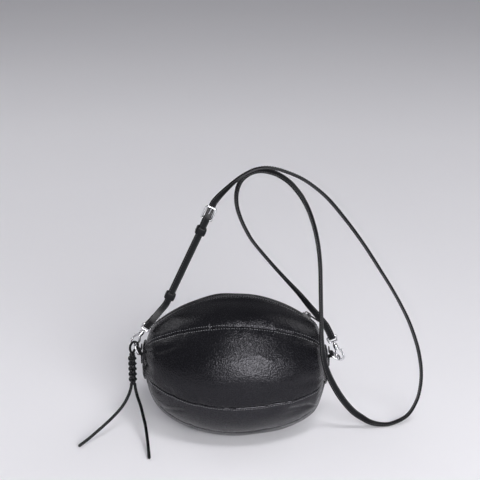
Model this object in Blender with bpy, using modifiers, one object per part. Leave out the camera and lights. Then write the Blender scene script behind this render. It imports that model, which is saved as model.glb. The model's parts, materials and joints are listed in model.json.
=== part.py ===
"""A small lantern-shaped leather bag: seven gores between two round ends, closed by a zip ridge.

A slim strap runs from a swivel clasp on each end ring, through a buckle and two keepers.
A knotted lace with two tails hangs from the left ring.  Metres, +Z up, standing on z = 0.
The long axis of the bag is X, and the front faces -Y.
"""
import math
from collections import namedtuple

import bmesh
import bpy
from mathutils import Matrix, Vector

# Bag body
BAG_RADIUS = 0.085
GORE_HALF_LENGTH = 0.109
ZIP_ARC_RADIUS = 0.158
SHOULDER_START = 0.095
END_RADIUS = 0.025
END_DOME = 0.002
END_RING_SHARES = (0.35, 0.7, 1.0)
REST_HEIGHT = 0.081
LEFT_END_RISE = 0.006
RIGHT_END_RISE = 0.0
RISE_POWER = 3
BASE_SAG = 0.0055
SAG_POWER = 3
LEAN = math.radians(14.0)
LEATHER = 0.0015
GORE_PUFF = 0.0022
GAP = 0.0003
UPPER_SEAM = math.radians(48.8)
LOWER_SEAM = math.radians(116.2)
BASE_SEAM = math.radians(153.3)
SLOPE_STEP_SHARE = 0.001

# Lining
LINING = 0.0008
LINING_SLOT = 0.009
LINING_SLOT_HALF_LENGTH = 0.088

# Zip
ZIP_SLOT = 0.011
TAPE = 0.0007
TAPE_SLIT = 0.0012
TAPE_REACH = 0.012
TEETH_HALF_LENGTH = 0.092
TOOTH_PITCH = 0.0045
TOOTH_LENGTH = 0.0018
TOOTH_FLANK = 0.00015
TOOTH_REACH = 0.0012
TEETH_HEIGHT = 0.0021
BEAD_OUTER = 0.0036
STOP_LENGTH = 0.002

# Zip slider and its pull
SLIDER_LENGTH = 0.011
SLIDER_WALL = 0.0011
SLIDER_CLEAR = 0.0004
SLIDER_START_ANGLE = math.radians(33.2)
BAIL_RADIUS = 0.0007
BAIL_HALF_LENGTH = 0.0034
PULL_WIRE = 0.0007
PULL_LENGTH = 0.017
PULL_HALF_WIDTH = 0.00275

# End tabs and rings
TAB_HALF_WIDTH = 0.005
TAB_LEATHER = 0.0016
TAB_ABOVE_BAR = 0.008
TAB_BELOW_BAR = 0.014
LEFT_RING_ABOVE_END = 0.0110
RIGHT_RING_ABOVE_END = 0.0135
RING_WIRE = 0.0012
RING_HALF_WIDTH = 0.0075
RING_DEPTH = 0.012
RING_BAR_CORNER = 0.0018
RING_BOW_CORNER = 0.0045
RING_STANDOFF = 0.0023
LEFT_RING_ANGLE = math.radians(114.7)
RIGHT_RING_ANGLE = math.radians(-30.0)

# Swivel clasps, measured from the bottom of the hook along the clasp
HOOK_WIRE = 0.0014
HOOK_HALF_WIDTH = 0.0044
HOOK_SHOULDER = 0.0070
NOSE_HEIGHT = 0.0056
BARREL_RADIUS = 0.0030
BARREL_START = 0.0152
BARREL_END = 0.0222
SEAT_DEPTH = 0.0016
STEM_RADIUS = 0.0010
GATE_RADIUS = 0.00095
GATE_PIVOT_HEIGHT = 0.0172
GATE_PIVOT_SIDE = 0.0019
GATE_SLOT_HALF_WIDTH = 0.00125
GATE_PIN_RADIUS = 0.0005
GATE_TAIL = 0.0011
THUMB_REACH = 0.0030
THUMB_RADIUS = 0.0010
EYE_WIRE = 0.0011
EYE_BOTTOM = 0.0260
EYE_TOP = 0.0330
EYE_TOP_HALF_WIDTH = 0.0060
EYE_BOTTOM_HALF_WIDTH = 0.0051
EYE_CORNER = 0.0016
COLLAR_RADIUS = 0.0022
COLLAR_HEIGHT = 0.0008
LEFT_CLASP_LEAN = math.radians(36.0)
RIGHT_CLASP_LEAN = math.radians(-23.5)
LEFT_CLASP_TIP = math.radians(11.0)
RIGHT_CLASP_TIP = 0.0
LEFT_CLASP_DEPTH = 0.0028
RIGHT_CLASP_DEPTH = 0.0024
RING_IN_HOOK = 0.0034

# Strap, keepers and buckle
STRAP_WIDTH = 0.0082
STRAP_THICKNESS = 0.0022
STRAP_EDGE = 0.0006
STACK_LEAN = math.radians(24.7)
STACK_PLACE = (-0.0781, 0.0, 0.1706)
STACK_LENGTH = 0.1051
LAYER_GAP = 0.0004
TAIL_END = 0.012
FOLD_LENGTH = 0.022
FOLD_SETTLE = 0.010
EYE_APPROACH_SHARES = (0.95, 0.6, 0.3, 0.0)
TAIL_RUN_SHARES = (0.0, 0.25, 0.5, 0.75, 0.95)
HEEL_RUN_SHARES = (0.0, 0.25, 0.5, 0.75, 1.0, 1.6, 2.2, 4.0)
RAMP_START_SHARE = 0.04
KEEPER_WALL = 0.0015
KEEPER_LENGTH = 0.0075
FIXED_KEEPER_BELOW_BAR = 0.0150
BUCKLE_WIRE = 0.0013
BUCKLE_HALF_WIDTH = 0.0061
BUCKLE_LENGTH = 0.0165
BUCKLE_CORNER = 0.0024
FAR_BAR_DEPTH = 0.0006
PRONG_RADIUS = 0.0008
PRONG_RING = 0.0010
PRONG_RING_HALF_WIDTH = 0.0011
PRONG_OVERHANG = 0.0008
PRONG_NOTCH_HALF_WIDTH = 0.0016
PRONG_SLOT_WIDTH = 0.0026
PRONG_SLOT_START = 0.0012
PRONG_SLOT_END = 0.0118
STRAP_HOLE_RADIUS = 0.0010
STRAP_HOLE_SPACING = 0.018
STRAP_HOLE_COUNT = 4

# Knotted lace
LACE_RADIUS = 0.0015
LACE_DEPTH = -0.0028
KNOT_X = -0.1254
KNOT_TOP = 0.0967
KNOT_LENGTH = 0.041
KNOT_RADIUS = 0.0048
KNOT_WAIST = 0.0037
KNOT_TURNS = 7
TAIL_RADIUS = 0.0019
TAIL_SPREAD = 0.0021

# Grid counts
GORE_STATIONS = 18
END_SIDES = 24
LINING_SIDES = 20

# Routes chosen by hand: x, y, z and, on the strap, the turn of its width away from Y in degrees
LONG_STRAP_ROUTE = (
    (-0.0245, 0.0036, 0.2868, 84), (-0.0185, 0.0028, 0.2945, 70), (-0.0110, 0.0012, 0.3028, 54),
    (-0.0020, -0.0010, 0.3120, 42), (0.0085, -0.0030, 0.3210, 34), (0.0200, -0.0045, 0.3280, 30),
    (0.0311, -0.0055, 0.3312, 30), (0.0430, -0.0060, 0.3310, 30), (0.0576, -0.0060, 0.3270, 30),
    (0.0765, -0.0060, 0.3188, 30), (0.0939, -0.0055, 0.3066, 30), (0.1105, -0.0050, 0.2910, 30),
    (0.1321, -0.0040, 0.2640, 28), (0.1521, -0.0030, 0.2360, 26), (0.1722, -0.0020, 0.2044, 24),
    (0.1870, -0.0010, 0.1802, 22), (0.1988, 0.0, 0.1590, 22), (0.2085, 0.0, 0.1395, 22),
    (0.2164, 0.0005, 0.1196, 22), (0.2235, 0.0010, 0.0965, 20), (0.2278, 0.0010, 0.0713, 14),
    (0.2277, 0.0010, 0.0500, 8), (0.2237, 0.0, 0.0305, 3), (0.2130, -0.0020, 0.0120, 0),
    (0.1950, -0.0045, 0.0026, 0), (0.1820, -0.0075, 0.0024, 4), (0.1680, -0.0120, 0.0072, 22),
    (0.1560, -0.0165, 0.0160, 42), (0.1430, -0.0225, 0.0285, 58), (0.1290, -0.0310, 0.0490, 66),
    (0.1170, -0.0385, 0.0720, 62), (0.1085, -0.0425, 0.0930, 54), (0.1038, -0.0430, 0.1125, 45),
    (0.1018, -0.0420, 0.1314, 37), (0.1011, -0.0400, 0.1497, 32), (0.1006, -0.0370, 0.1674, 30),
    (0.1000, -0.0320, 0.1906, 30), (0.0994, -0.0270, 0.2137, 30), (0.0975, -0.0215, 0.2360, 30),
    (0.0935, -0.0160, 0.2570, 30), (0.0870, -0.0100, 0.2775, 30), (0.0800, -0.0055, 0.2915, 30),
    (0.0735, -0.0010, 0.3005, 30), (0.0635, 0.0040, 0.3108, 30), (0.0512, 0.0080, 0.3185, 30),
    (0.0400, 0.0100, 0.3222, 30), (0.0290, 0.0105, 0.3234, 30), (0.0183, 0.0100, 0.3208, 30),
    (0.0090, 0.0085, 0.3145, 30), (0.0036, 0.0070, 0.3050, 30), (0.0014, 0.0060, 0.2930, 30),
    (0.0025, 0.0050, 0.2798, 30), (0.0070, 0.0040, 0.2654, 30), (0.0140, 0.0030, 0.2503, 30),
    (0.0223, 0.0025, 0.2367, 30), (0.0415, 0.0015, 0.2130, 32), (0.0594, 0.0010, 0.1923, 38),
    (0.0760, 0.0, 0.1738, 52), (0.0890, -0.0005, 0.1575, 72), (0.0984, -0.0004, 0.1462, 84),
    (0.1074, -0.0002, 0.1349, 90),
)
SHORT_STRAP_ROUTE = (
    (-0.0905, -0.0010, 0.1510), (-0.0964, -0.0049, 0.1449),
)
LEFT_TAIL_ROUTE = (
    (-0.1281, -0.0036, 0.0500), (-0.1315, -0.0100, 0.0416), (-0.1375, -0.0190, 0.0335),
    (-0.1468, -0.0285, 0.0255), (-0.1570, -0.0375, 0.0185), (-0.1670, -0.0460, 0.0125),
    (-0.1770, -0.0545, 0.0068), (-0.1860, -0.0620, 0.0026),
)
RIGHT_TAIL_ROUTE = (
    (-0.1226, -0.0042, 0.0500), (-0.1196, -0.0120, 0.0425), (-0.1150, -0.0220, 0.0345),
    (-0.1115, -0.0330, 0.0270), (-0.1080, -0.0450, 0.0200), (-0.1053, -0.0590, 0.0130),
    (-0.1028, -0.0750, 0.0070), (-0.1008, -0.0905, 0.0026),
)
LACE_LOOP_ROUTE = (
    (-0.1266, 0.0976), (-0.1277, 0.1015), (-0.1273, 0.1062), (-0.1250, 0.1103), (-0.1220, 0.1117),
    (-0.1194, 0.1105), (-0.1181, 0.1078), (-0.1187, 0.1048), (-0.1205, 0.1026), (-0.1226, 0.1006),
    (-0.1240, 0.0976),
)

Frame = namedtuple("Frame", "origin side axis depth")
Y_AXIS = Vector((0.0, 1.0, 0.0))


def clear_scene():
    for thing in list(bpy.data.objects):
        bpy.data.objects.remove(thing, do_unlink=True)


def new_collection(name):
    collection = bpy.data.collections.new(name)
    bpy.context.scene.collection.children.link(collection)
    return collection


def finish_material(name, colour, roughness, metallic=0.0):
    material = bpy.data.materials.new(name)
    material.use_nodes = True
    shader = material.node_tree.nodes["Principled BSDF"]
    shader.inputs["Base Color"].default_value = (*colour, 1.0)
    shader.inputs["Roughness"].default_value = roughness
    shader.inputs["Metallic"].default_value = metallic
    material.diffuse_color = (*colour, 1.0)
    return material


def add_object(name, data, material, pivot=(0.0, 0.0, 0.0), collection=None):
    """Links new data as an object whose origin is the pivot."""
    piece = bpy.data.objects.new(name, data)
    piece.location = pivot
    if not data.materials:
        data.materials.append(material)
    (collection or PARTS).objects.link(piece)
    return piece


def add_mesh(name, points, faces, material, pivot=(0.0, 0.0, 0.0), smooth=True, collection=None):
    """Makes a mesh from world points, with its origin at the pivot and its faces turned out."""
    pivot = Vector(pivot)
    mesh = bpy.data.meshes.new(name)
    mesh.from_pydata([Vector(p) - pivot for p in points], [], faces)
    if smooth:
        mesh.shade_smooth()
        mesh.set_sharp_from_angle(angle=math.radians(40.0))
    return add_object(name, mesh, material, pivot, collection)


def turn_faces_out(mesh):
    body = bmesh.new()
    body.from_mesh(mesh)
    bmesh.ops.recalc_face_normals(body, faces=body.faces)
    body.to_mesh(mesh)
    body.free()


def solidify(piece, thickness):
    wall = piece.modifiers.new("wall", "SOLIDIFY")
    wall.thickness = thickness
    wall.offset = -1.0
    wall.use_even_offset = True


def frame_point(frame, side, axis, depth=0.0):
    return frame.origin + frame.side * side + frame.axis * axis + frame.depth * depth


def frame_matrix(frame):
    matrix = Matrix((frame.side, frame.axis, frame.depth)).transposed().to_4x4()
    matrix.translation = frame.origin
    return matrix


def tube(name, points, radius, material, pivot=(0.0, 0.0, 0.0), cyclic=False, shares=None, rounds=2,
         collection=None):
    """Makes a round wire through world points; shares thicken or thin it point by point."""
    pivot = Vector(pivot)
    curve = bpy.data.curves.new(name, "CURVE")
    curve.dimensions = "3D"
    curve.bevel_depth = radius
    curve.bevel_resolution = rounds
    curve.use_fill_caps = not cyclic
    spline = curve.splines.new("POLY")
    spline.points.add(len(points) - 1)
    spline.use_cyclic_u = cyclic
    for index, (slot, point) in enumerate(zip(spline.points, points)):
        slot.co = (*(Vector(point) - pivot), 1.0)
        slot.radius = shares[index] if shares else 1.0
    return add_object(name, curve, material, pivot, collection)


def outline_plate(name, loops, frame, half_depth, material, collection=None):
    """Extrudes a flat outline, with any holes, to both sides of its frame's plane."""
    curve = bpy.data.curves.new(name, "CURVE")
    curve.dimensions = "2D"
    curve.fill_mode = "BOTH"
    curve.extrude = half_depth
    for loop in loops:
        spline = curve.splines.new("POLY")
        spline.points.add(len(loop) - 1)
        spline.use_cyclic_u = True
        for slot, (side, axis) in zip(spline.points, loop):
            slot.co = (side, axis, 0.0, 1.0)
    piece = add_object(name, curve, material, collection=collection)
    piece.matrix_world = frame_matrix(frame)
    return piece


def as_mesh(piece):
    """Replaces a curve object by its mesh, with the loose caps welded on."""
    bpy.context.view_layer.update()
    matrix = piece.matrix_world.copy()
    evaluated = piece.evaluated_get(bpy.context.evaluated_depsgraph_get())
    mesh = bpy.data.meshes.new_from_object(evaluated)
    body = bmesh.new()
    body.from_mesh(mesh)
    bmesh.ops.remove_doubles(body, verts=body.verts, dist=GAP / 10.0)
    bmesh.ops.recalc_face_normals(body, faces=body.faces)
    body.to_mesh(mesh)
    body.free()
    name, home = piece.name, piece.users_collection[0]
    bpy.data.objects.remove(piece, do_unlink=True)
    mesh.name = name
    mesh.shade_smooth()
    mesh.set_sharp_from_angle(angle=math.radians(40.0))
    result = bpy.data.objects.new(name, mesh)
    result.matrix_world = matrix
    home.objects.link(result)
    return result


def box(name, frame, half_sizes, material, collection=None):
    body = bmesh.new()
    bmesh.ops.create_cube(body, size=1.0)
    bmesh.ops.scale(body, vec=Vector(half_sizes) * 2.0, verts=body.verts)
    mesh = bpy.data.meshes.new(name)
    body.to_mesh(mesh)
    body.free()
    piece = add_object(name, mesh, material, collection=collection)
    piece.matrix_world = frame_matrix(frame)
    return piece


def rod(name, frame, radius, low, high, material, sides=16, collection=None, top_share=1.0):
    """Makes a cylinder or cone along the frame's axis, from low to high."""
    body = bmesh.new()
    bmesh.ops.create_cone(body, cap_ends=True, segments=sides, radius1=radius,
                          radius2=radius * top_share, depth=high - low)
    bmesh.ops.translate(body, vec=(0.0, 0.0, (low + high) / 2.0), verts=body.verts)
    mesh = bpy.data.meshes.new(name)
    body.to_mesh(mesh)
    body.free()
    mesh.shade_smooth()
    mesh.set_sharp_from_angle(angle=math.radians(40.0))
    piece = add_object(name, mesh, material, collection=collection)
    upright = Frame(frame.origin, frame.depth, frame.side, frame.axis)
    piece.matrix_world = frame_matrix(upright)
    return piece


def turned_frame(frame):
    """Turns a frame so that a rod made in it lies along the old depth."""
    return Frame(frame.origin, frame.axis, frame.depth, frame.side)


def combine(piece, tool, operation):
    """Joins a tool to a piece, or cuts it from the piece, and puts the tool with the cutters."""
    for home in list(tool.users_collection):
        home.objects.unlink(tool)
    CUTTERS.objects.link(tool)
    tool.hide_render = True
    tool.display_type = "WIRE"
    change = piece.modifiers.new(operation.lower(), "BOOLEAN")
    change.operation = operation
    change.solver = "EXACT"
    change.object = tool


def rounded_path(corners, steps=4, cyclic=True):
    """Rounds the corners of a path given as (side, axis, radius), with steps per corner."""
    count = len(corners)
    path = []
    for index, (side, axis, radius) in enumerate(corners):
        here = Vector((side, axis))
        if radius == 0.0 or (not cyclic and index in (0, count - 1)):
            path.append(here)
            continue
        before = (Vector(corners[index - 1][:2]) - here).normalized()
        after = (Vector(corners[(index + 1) % count][:2]) - here).normalized()
        half = before.angle(after) / 2.0
        reach = radius / math.tan(half)
        centre = here + (before + after).normalized() * (radius / math.sin(half))
        start = (here + before * reach) - centre
        sweep = start.angle_signed((here + after * reach) - centre)
        for step in range(steps + 1):
            turn = Matrix.Rotation(-sweep * step / steps, 2)
            path.append(centre + turn @ start)
    return path


def smooth_route(points, steps):
    """Puts steps points in each span of a smooth curve through the route's own points."""
    points = [Vector(p) for p in points]
    ends = [points[0] * 2.0 - points[1]] + points + [points[-1] * 2.0 - points[-2]]
    route = []
    for index in range(1, len(ends) - 2):
        p0, p1, p2, p3 = ends[index - 1:index + 3]
        for step in range(steps):
            t = step / steps
            route.append(0.5 * (2.0 * p1 + (p2 - p0) * t + (2.0 * p0 - 5.0 * p1 + 4.0 * p2 - p3) * t ** 2
                                + (3.0 * p1 - p0 - 3.0 * p2 + p3) * t ** 3))
    route.append(points[-1])
    return route


def end_rise(x):
    return LEFT_END_RISE if x < 0.0 else RIGHT_END_RISE


def centre_rise(x):
    """How far the section's centre lies above the long axis; it grows towards the ends."""
    return end_rise(x) * (abs(x) / GORE_HALF_LENGTH) ** RISE_POWER


def ridge_height(x):
    """Height of the zip line over the long axis: one circle, then a curve down to the end."""
    crown = ZIP_ARC_RADIUS - BAG_RADIUS
    reach = min(abs(x), SHOULDER_START)
    height = math.sqrt(ZIP_ARC_RADIUS ** 2 - reach ** 2) - crown
    if abs(x) <= SHOULDER_START:
        return height
    run = abs(x) - SHOULDER_START
    span = GORE_HALF_LENGTH - SHOULDER_START
    slope = SHOULDER_START / math.sqrt(ZIP_ARC_RADIUS ** 2 - SHOULDER_START ** 2)
    drop = height - slope * span - END_RADIUS - end_rise(x)
    return height - slope * run - drop * (run / span) ** 2


def section_radius(x):
    return ridge_height(x) - centre_rise(x)


def puff(x, angle):
    """Swell of a gore between its two seams; beside the zip it starts without a slope."""
    angle = angle % (2.0 * math.pi)
    if angle > math.pi:
        angle = 2.0 * math.pi - angle
    edges = (0.0, UPPER_SEAM, LOWER_SEAM, BASE_SEAM, 2.0 * math.pi - BASE_SEAM)
    for low, high in zip(edges, edges[1:]):
        if low <= angle <= high:
            share = (angle - low) / (high - low)
            if low == 0.0:
                share *= share
            return GORE_PUFF * math.sin(math.pi * share) * section_radius(x) / BAG_RADIUS
    return 0.0


def base_sag(x, angle):
    """How far the lower gores hang out under the ends, where the soft bag settles on its base."""
    folded = min(angle % (2.0 * math.pi), -angle % (2.0 * math.pi))
    share = max(0.0, (folded - LOWER_SEAM) / (math.pi - LOWER_SEAM))
    share = share * share * (3.0 - 2.0 * share)
    return BASE_SAG * math.sin(math.pi * (abs(x) / GORE_HALF_LENGTH) ** SAG_POWER) * share


def lean_back(x, y, z):
    """Places a point of the upright bag in the world: leaned back and lifted to its rest height."""
    return Vector((x, y * math.cos(LEAN) + z * math.sin(LEAN),
                   REST_HEIGHT - y * math.sin(LEAN) + z * math.cos(LEAN)))


def skin(x, angle, depth=0.0, share=1.0):
    """A point of the skin at x, turned from the zip towards the front, some depth inside it."""
    step = GORE_HALF_LENGTH * SLOPE_STEP_SHARE
    inner = x - math.copysign(step, x)
    tilt = math.atan2(section_radius(inner) - section_radius(x), step)
    swell = puff(x, angle) + base_sag(x, angle)
    radius = (section_radius(x) + swell - depth * math.cos(tilt)) * share
    place = lean_back(x - math.copysign(depth * math.sin(tilt), x), -radius * math.sin(angle),
                      radius * math.cos(angle) + centre_rise(x))
    place.z = max(place.z, depth)
    return place


def stations():
    """Places along X, closer together towards the ends."""
    turns = [math.pi * (i / GORE_STATIONS - 0.5) for i in range(GORE_STATIONS + 1)]
    return [GORE_HALF_LENGTH * math.sin(turn) for turn in turns]


def grid_faces(rows, columns):
    return [(r * columns + c, r * columns + c + 1, (r + 1) * columns + c + 1, (r + 1) * columns + c)
            for r in range(rows - 1) for c in range(columns - 1)]


def strip(name, first, last, trims, depth, thickness, cells, skipped, material):
    """A solid strip of the skin between two angles, each edge trimmed back by a distance."""
    points = []
    xs = stations()
    xs = xs[skipped:len(xs) - skipped]
    for x in xs:
        radius = section_radius(x)
        low = first + trims[0] / radius
        high = last - trims[1] / radius
        points += [skin(x, low + (high - low) * c / cells, depth) for c in range(cells + 1)]
    piece = add_mesh(name, points, grid_faces(len(xs), cells + 1), material)
    solidify(piece, thickness)


def make_gores(leather):
    turn = 2.0 * math.pi
    seam = GAP / 2.0
    slot = ZIP_SLOT / 2.0
    for name, first, last, trims, cells in (
            ("front_top_panel", 0.0, UPPER_SEAM, (slot, seam), 6),
            ("front_panel", UPPER_SEAM, LOWER_SEAM, (seam, seam), 5),
            ("front_lower_panel", LOWER_SEAM, BASE_SEAM, (seam, seam), 4),
            ("base_panel", BASE_SEAM, turn - BASE_SEAM, (seam, seam), 6),
            ("back_lower_panel", turn - BASE_SEAM, turn - LOWER_SEAM, (seam, seam), 4),
            ("back_panel", turn - LOWER_SEAM, turn - UPPER_SEAM, (seam, seam), 5),
            ("back_top_panel", turn - UPPER_SEAM, turn, (seam, slot), 6)):
        strip(name, first, last, trims, 0.0, LEATHER, cells, 0, leather)


def make_end_panel(name, side, leather):
    """A round, slightly domed end, sewn over the ends of all the gores."""
    edge = side * GORE_HALF_LENGTH
    rim = GORE_HALF_LENGTH + GAP + LEATHER
    points = [Vector((side * (rim + END_DOME), *skin(edge, 0.0, 0.0, 0.0)[1:]))]
    for share in END_RING_SHARES:
        for index in range(END_SIDES):
            point = skin(edge, 2.0 * math.pi * index / END_SIDES, 0.0, share)
            point.x = side * (rim + END_DOME * (1.0 - share ** 2))
            points.append(point)
    faces = [(0, 1 + i, 1 + (i + 1) % END_SIDES) for i in range(END_SIDES)]
    for ring in range(len(END_RING_SHARES) - 1):
        base = 1 + ring * END_SIDES
        for i in range(END_SIDES):
            j = (i + 1) % END_SIDES
            faces.append((base + i, base + END_SIDES + i, base + END_SIDES + j, base + j))
    if side < 0:
        faces = [tuple(reversed(f)) for f in faces]
    piece = add_mesh(name, points, faces, leather)
    solidify(piece, LEATHER)


def tape_depth():
    return LEATHER + 2.0 * GAP


def make_lining(cloth):
    """A thin bag inside the gores, closed at its ends and open in a slot under the zip."""
    depth = tape_depth() + TAPE + 2.0 * GAP
    xs = stations()[1:-1]
    columns = LINING_SIDES + 1
    points = []
    for x in xs:
        slot = LINING_SLOT / 2.0 / section_radius(x)
        for c in range(columns):
            points.append(skin(x, slot + (2.0 * math.pi - 2.0 * slot) * c / LINING_SIDES, depth))
    faces = grid_faces(len(xs), columns)
    for row, (here, there) in enumerate(zip(xs, xs[1:])):
        if max(abs(here), abs(there)) > LINING_SLOT_HALF_LENGTH:
            faces.append((row * columns, (row + 1) * columns, (row + 2) * columns - 1,
                          (row + 1) * columns - 1))
    for row, centre_x in ((0, xs[0]), (len(xs) - 1, xs[-1])):
        ring = list(range(row * columns, (row + 1) * columns))
        centre = Vector((points[ring[0]].x, *skin(centre_x, 0.0, 0.0, 0.0)[1:]))
        points.append(centre)
        for a, b in zip(ring, ring[1:] + ring[:1]):
            faces.append((len(points) - 1, b, a) if row == 0 else (len(points) - 1, a, b))
    piece = add_mesh("lining", points, faces, cloth)
    turn_faces_out(piece.data)
    solidify(piece, LINING)


def zip_frame(angle, height):
    """The frame on the zip's circle: side runs along the zip, axis stands up, depth points back."""
    centre = BAG_RADIUS - ZIP_ARC_RADIUS
    radius = ZIP_ARC_RADIUS + height
    origin = lean_back(radius * math.sin(angle), 0.0, centre + radius * math.cos(angle))
    base = lean_back(0.0, 0.0, 0.0)
    along = lean_back(math.cos(angle), 0.0, -math.sin(angle)) - base
    out = lean_back(math.sin(angle), 0.0, math.cos(angle)) - base
    back = lean_back(0.0, 1.0, 0.0) - base
    return Frame(origin, along, out, back * -1.0)


def teeth_bottom():
    return GAP - tape_depth()


def make_zip_tapes(cloth):
    turn = 2.0 * math.pi
    slit = TAPE_SLIT / 2.0
    for name, first, last, trims in (("zip_tape_front", 0.0, 0.0, (slit, -TAPE_REACH)),
                                     ("zip_tape_back", turn, turn, (-TAPE_REACH, slit))):
        strip(name, first, last, trims, tape_depth(), TAPE, 2, 1, cloth)


def make_teeth(name, side, offset, nylon):
    """One row of teeth on its bead, bent round the zip's circle."""
    half_angle = math.asin(TEETH_HALF_LENGTH / ZIP_ARC_RADIUS)
    pitch = TOOTH_PITCH / ZIP_ARC_RADIUS
    count = int(2.0 * half_angle / pitch) - 1
    start = -pitch * count / 2.0 + offset * pitch
    bead_inner = TOOTH_REACH + GAP
    half = TOOTH_LENGTH / 2.0 / ZIP_ARC_RADIUS
    flank = TOOTH_FLANK / ZIP_ARC_RADIUS
    rows = [(-half_angle, bead_inner)]
    for index in range(count):
        angle = start + pitch * index
        rows += [(angle - half - flank, bead_inner), (angle - half, -TOOTH_REACH),
                 (angle + half, -TOOTH_REACH), (angle + half + flank, bead_inner)]
    rows.append((half_angle, bead_inner))
    low = teeth_bottom()
    points = []
    for angle, inner in rows:
        for across, height in ((inner, low), (BEAD_OUTER, low), (BEAD_OUTER, low + TEETH_HEIGHT),
                               (inner, low + TEETH_HEIGHT)):
            frame = zip_frame(angle, height)
            points.append(frame.origin + frame.depth * across * side)
    add_ringed(name, points, 4, nylon, smooth=False)


def add_ringed(name, points, sides, material, pivot=(0.0, 0.0, 0.0), smooth=True, collection=None):
    """Joins rings of points into one closed body with flat ends, its faces turned out."""
    rings = len(points) // sides
    faces = [(r * sides + i, r * sides + (i + 1) % sides, (r + 1) * sides + (i + 1) % sides,
              (r + 1) * sides + i) for r in range(rings - 1) for i in range(sides)]
    faces.append(tuple(reversed(range(sides))))
    faces.append(tuple(range((rings - 1) * sides, rings * sides)))
    piece = add_mesh(name, points, faces, material, pivot, smooth, collection)
    turn_faces_out(piece.data)
    return piece


def make_zip_stops(metal):
    half_angle = math.asin(TEETH_HALF_LENGTH / ZIP_ARC_RADIUS)
    beyond = (STOP_LENGTH / 2.0 + GAP) / ZIP_ARC_RADIUS
    middle = teeth_bottom() + TEETH_HEIGHT / 2.0
    for name, side in (("zip_stop_left", -1.0), ("zip_stop_right", 1.0)):
        frame = zip_frame(side * (half_angle + beyond), middle)
        box(name, frame, (STOP_LENGTH / 2.0, TEETH_HEIGHT / 2.0, BEAD_OUTER), metal)


def slider_heights():
    """Heights over the zip's circle: channel roof, top of the slider and the pull's bar."""
    roof = teeth_bottom() + TEETH_HEIGHT + SLIDER_CLEAR
    top = roof + SLIDER_WALL
    return roof, top, top + GAP + PULL_WIRE


def make_slider(metal):
    """The slider rides over both rows of teeth; its bail holds the pull."""
    roof, top, bar = slider_heights()
    skirt = teeth_bottom() + GAP / 3.0
    middle = (skirt + top) / 2.0
    frame = zip_frame(SLIDER_START_ANGLE, middle)
    half_width = BEAD_OUTER + SLIDER_CLEAR + SLIDER_WALL
    slider = box("zip_slider", frame, (SLIDER_LENGTH / 2.0, (top - skirt) / 2.0, half_width), metal)
    edges = slider.modifiers.new("edges", "BEVEL")
    edges.width = SLIDER_WALL / 3.0
    edges.segments = 1
    channel_height = roof - skirt
    channel = box("slider_channel", zip_frame(SLIDER_START_ANGLE, roof - channel_height),
                  (SLIDER_LENGTH, channel_height, BEAD_OUTER + SLIDER_CLEAR), metal)
    combine(slider, channel, "DIFFERENCE")
    sunk = top - BAIL_RADIUS
    arch = bar + PULL_WIRE + GAP + BAIL_RADIUS
    path = rounded_path(((-BAIL_HALF_LENGTH, sunk, 0.0), (-BAIL_HALF_LENGTH, arch, BAIL_RADIUS * 2.0),
                         (BAIL_HALF_LENGTH, arch, BAIL_RADIUS * 2.0), (BAIL_HALF_LENGTH, sunk, 0.0)),
                        3, False)
    base = zip_frame(SLIDER_START_ANGLE, 0.0)
    bail = as_mesh(tube("slider_bail", [frame_point(base, *p) for p in path], BAIL_RADIUS, metal))
    combine(slider, bail, "UNION")


def make_zip_pull(metal):
    """A long wire loop, lying along the zip away from the slider."""
    bar = slider_heights()[2]
    frame = zip_frame(SLIDER_START_ANGLE, bar)
    corner = PULL_WIRE * 2.0
    bend = PULL_HALF_WIDTH * 0.9
    path = rounded_path(((0.0, -PULL_HALF_WIDTH, corner), (PULL_LENGTH, -PULL_HALF_WIDTH, bend),
                         (PULL_LENGTH, PULL_HALF_WIDTH, bend), (0.0, PULL_HALF_WIDTH, corner)), 4)
    points = [frame_point(frame, along, 0.0, across) for along, across in path]
    tube("zip_pull", points, PULL_WIRE, metal, frame.origin, cyclic=True)


def ring_frame(side):
    """The frame of an end ring: its bar lies along Y and the ring reaches along the axis."""
    above = LEFT_RING_ABOVE_END if side < 0 else RIGHT_RING_ABOVE_END
    height = skin(side * GORE_HALF_LENGTH, 0.0, 0.0, 0.0).z + above
    reach = GORE_HALF_LENGTH + LEATHER + END_DOME + 2.0 * GAP + TAB_LEATHER + RING_STANDOFF
    angle = LEFT_RING_ANGLE if side < 0 else RIGHT_RING_ANGLE
    axis = Vector((math.cos(angle), 0.0, math.sin(angle)))
    return Frame(Vector((side * reach, 0.0, height)), Y_AXIS, axis, Y_AXIS.cross(axis))


def make_end_tab(name, side, leather):
    """A strip sewn to the end panel, with a loop for the ring's bar."""
    frame = ring_frame(side)
    flat = Frame(frame.origin, Vector((side, 0.0, 0.0)), Vector((0.0, 0.0, 1.0)),
                 Vector((0.0, -side, 0.0)))
    inner = -(TAB_LEATHER + RING_STANDOFF)
    outer = -RING_STANDOFF
    loop = RING_WIRE + GAP + TAB_LEATHER
    hole = RING_WIRE + GAP
    meet = math.acos(max(-1.0, min(1.0, RING_STANDOFF / loop)))
    arc = [(loop * math.cos(a), loop * math.sin(a)) for a in
           [(math.pi - meet) * (1.0 - 2.0 * i / 12) for i in range(13)]]
    outline = ([(inner, -TAB_BELOW_BAR), (inner, TAB_ABOVE_BAR), (outer, TAB_ABOVE_BAR)] + arc
               + [(outer, -TAB_BELOW_BAR)])
    ring = [(hole * math.cos(2.0 * math.pi * i / 14), hole * math.sin(2.0 * math.pi * i / 14))
            for i in range(14)]
    outline_plate(name, (outline, ring), flat, TAB_HALF_WIDTH, leather)


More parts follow.
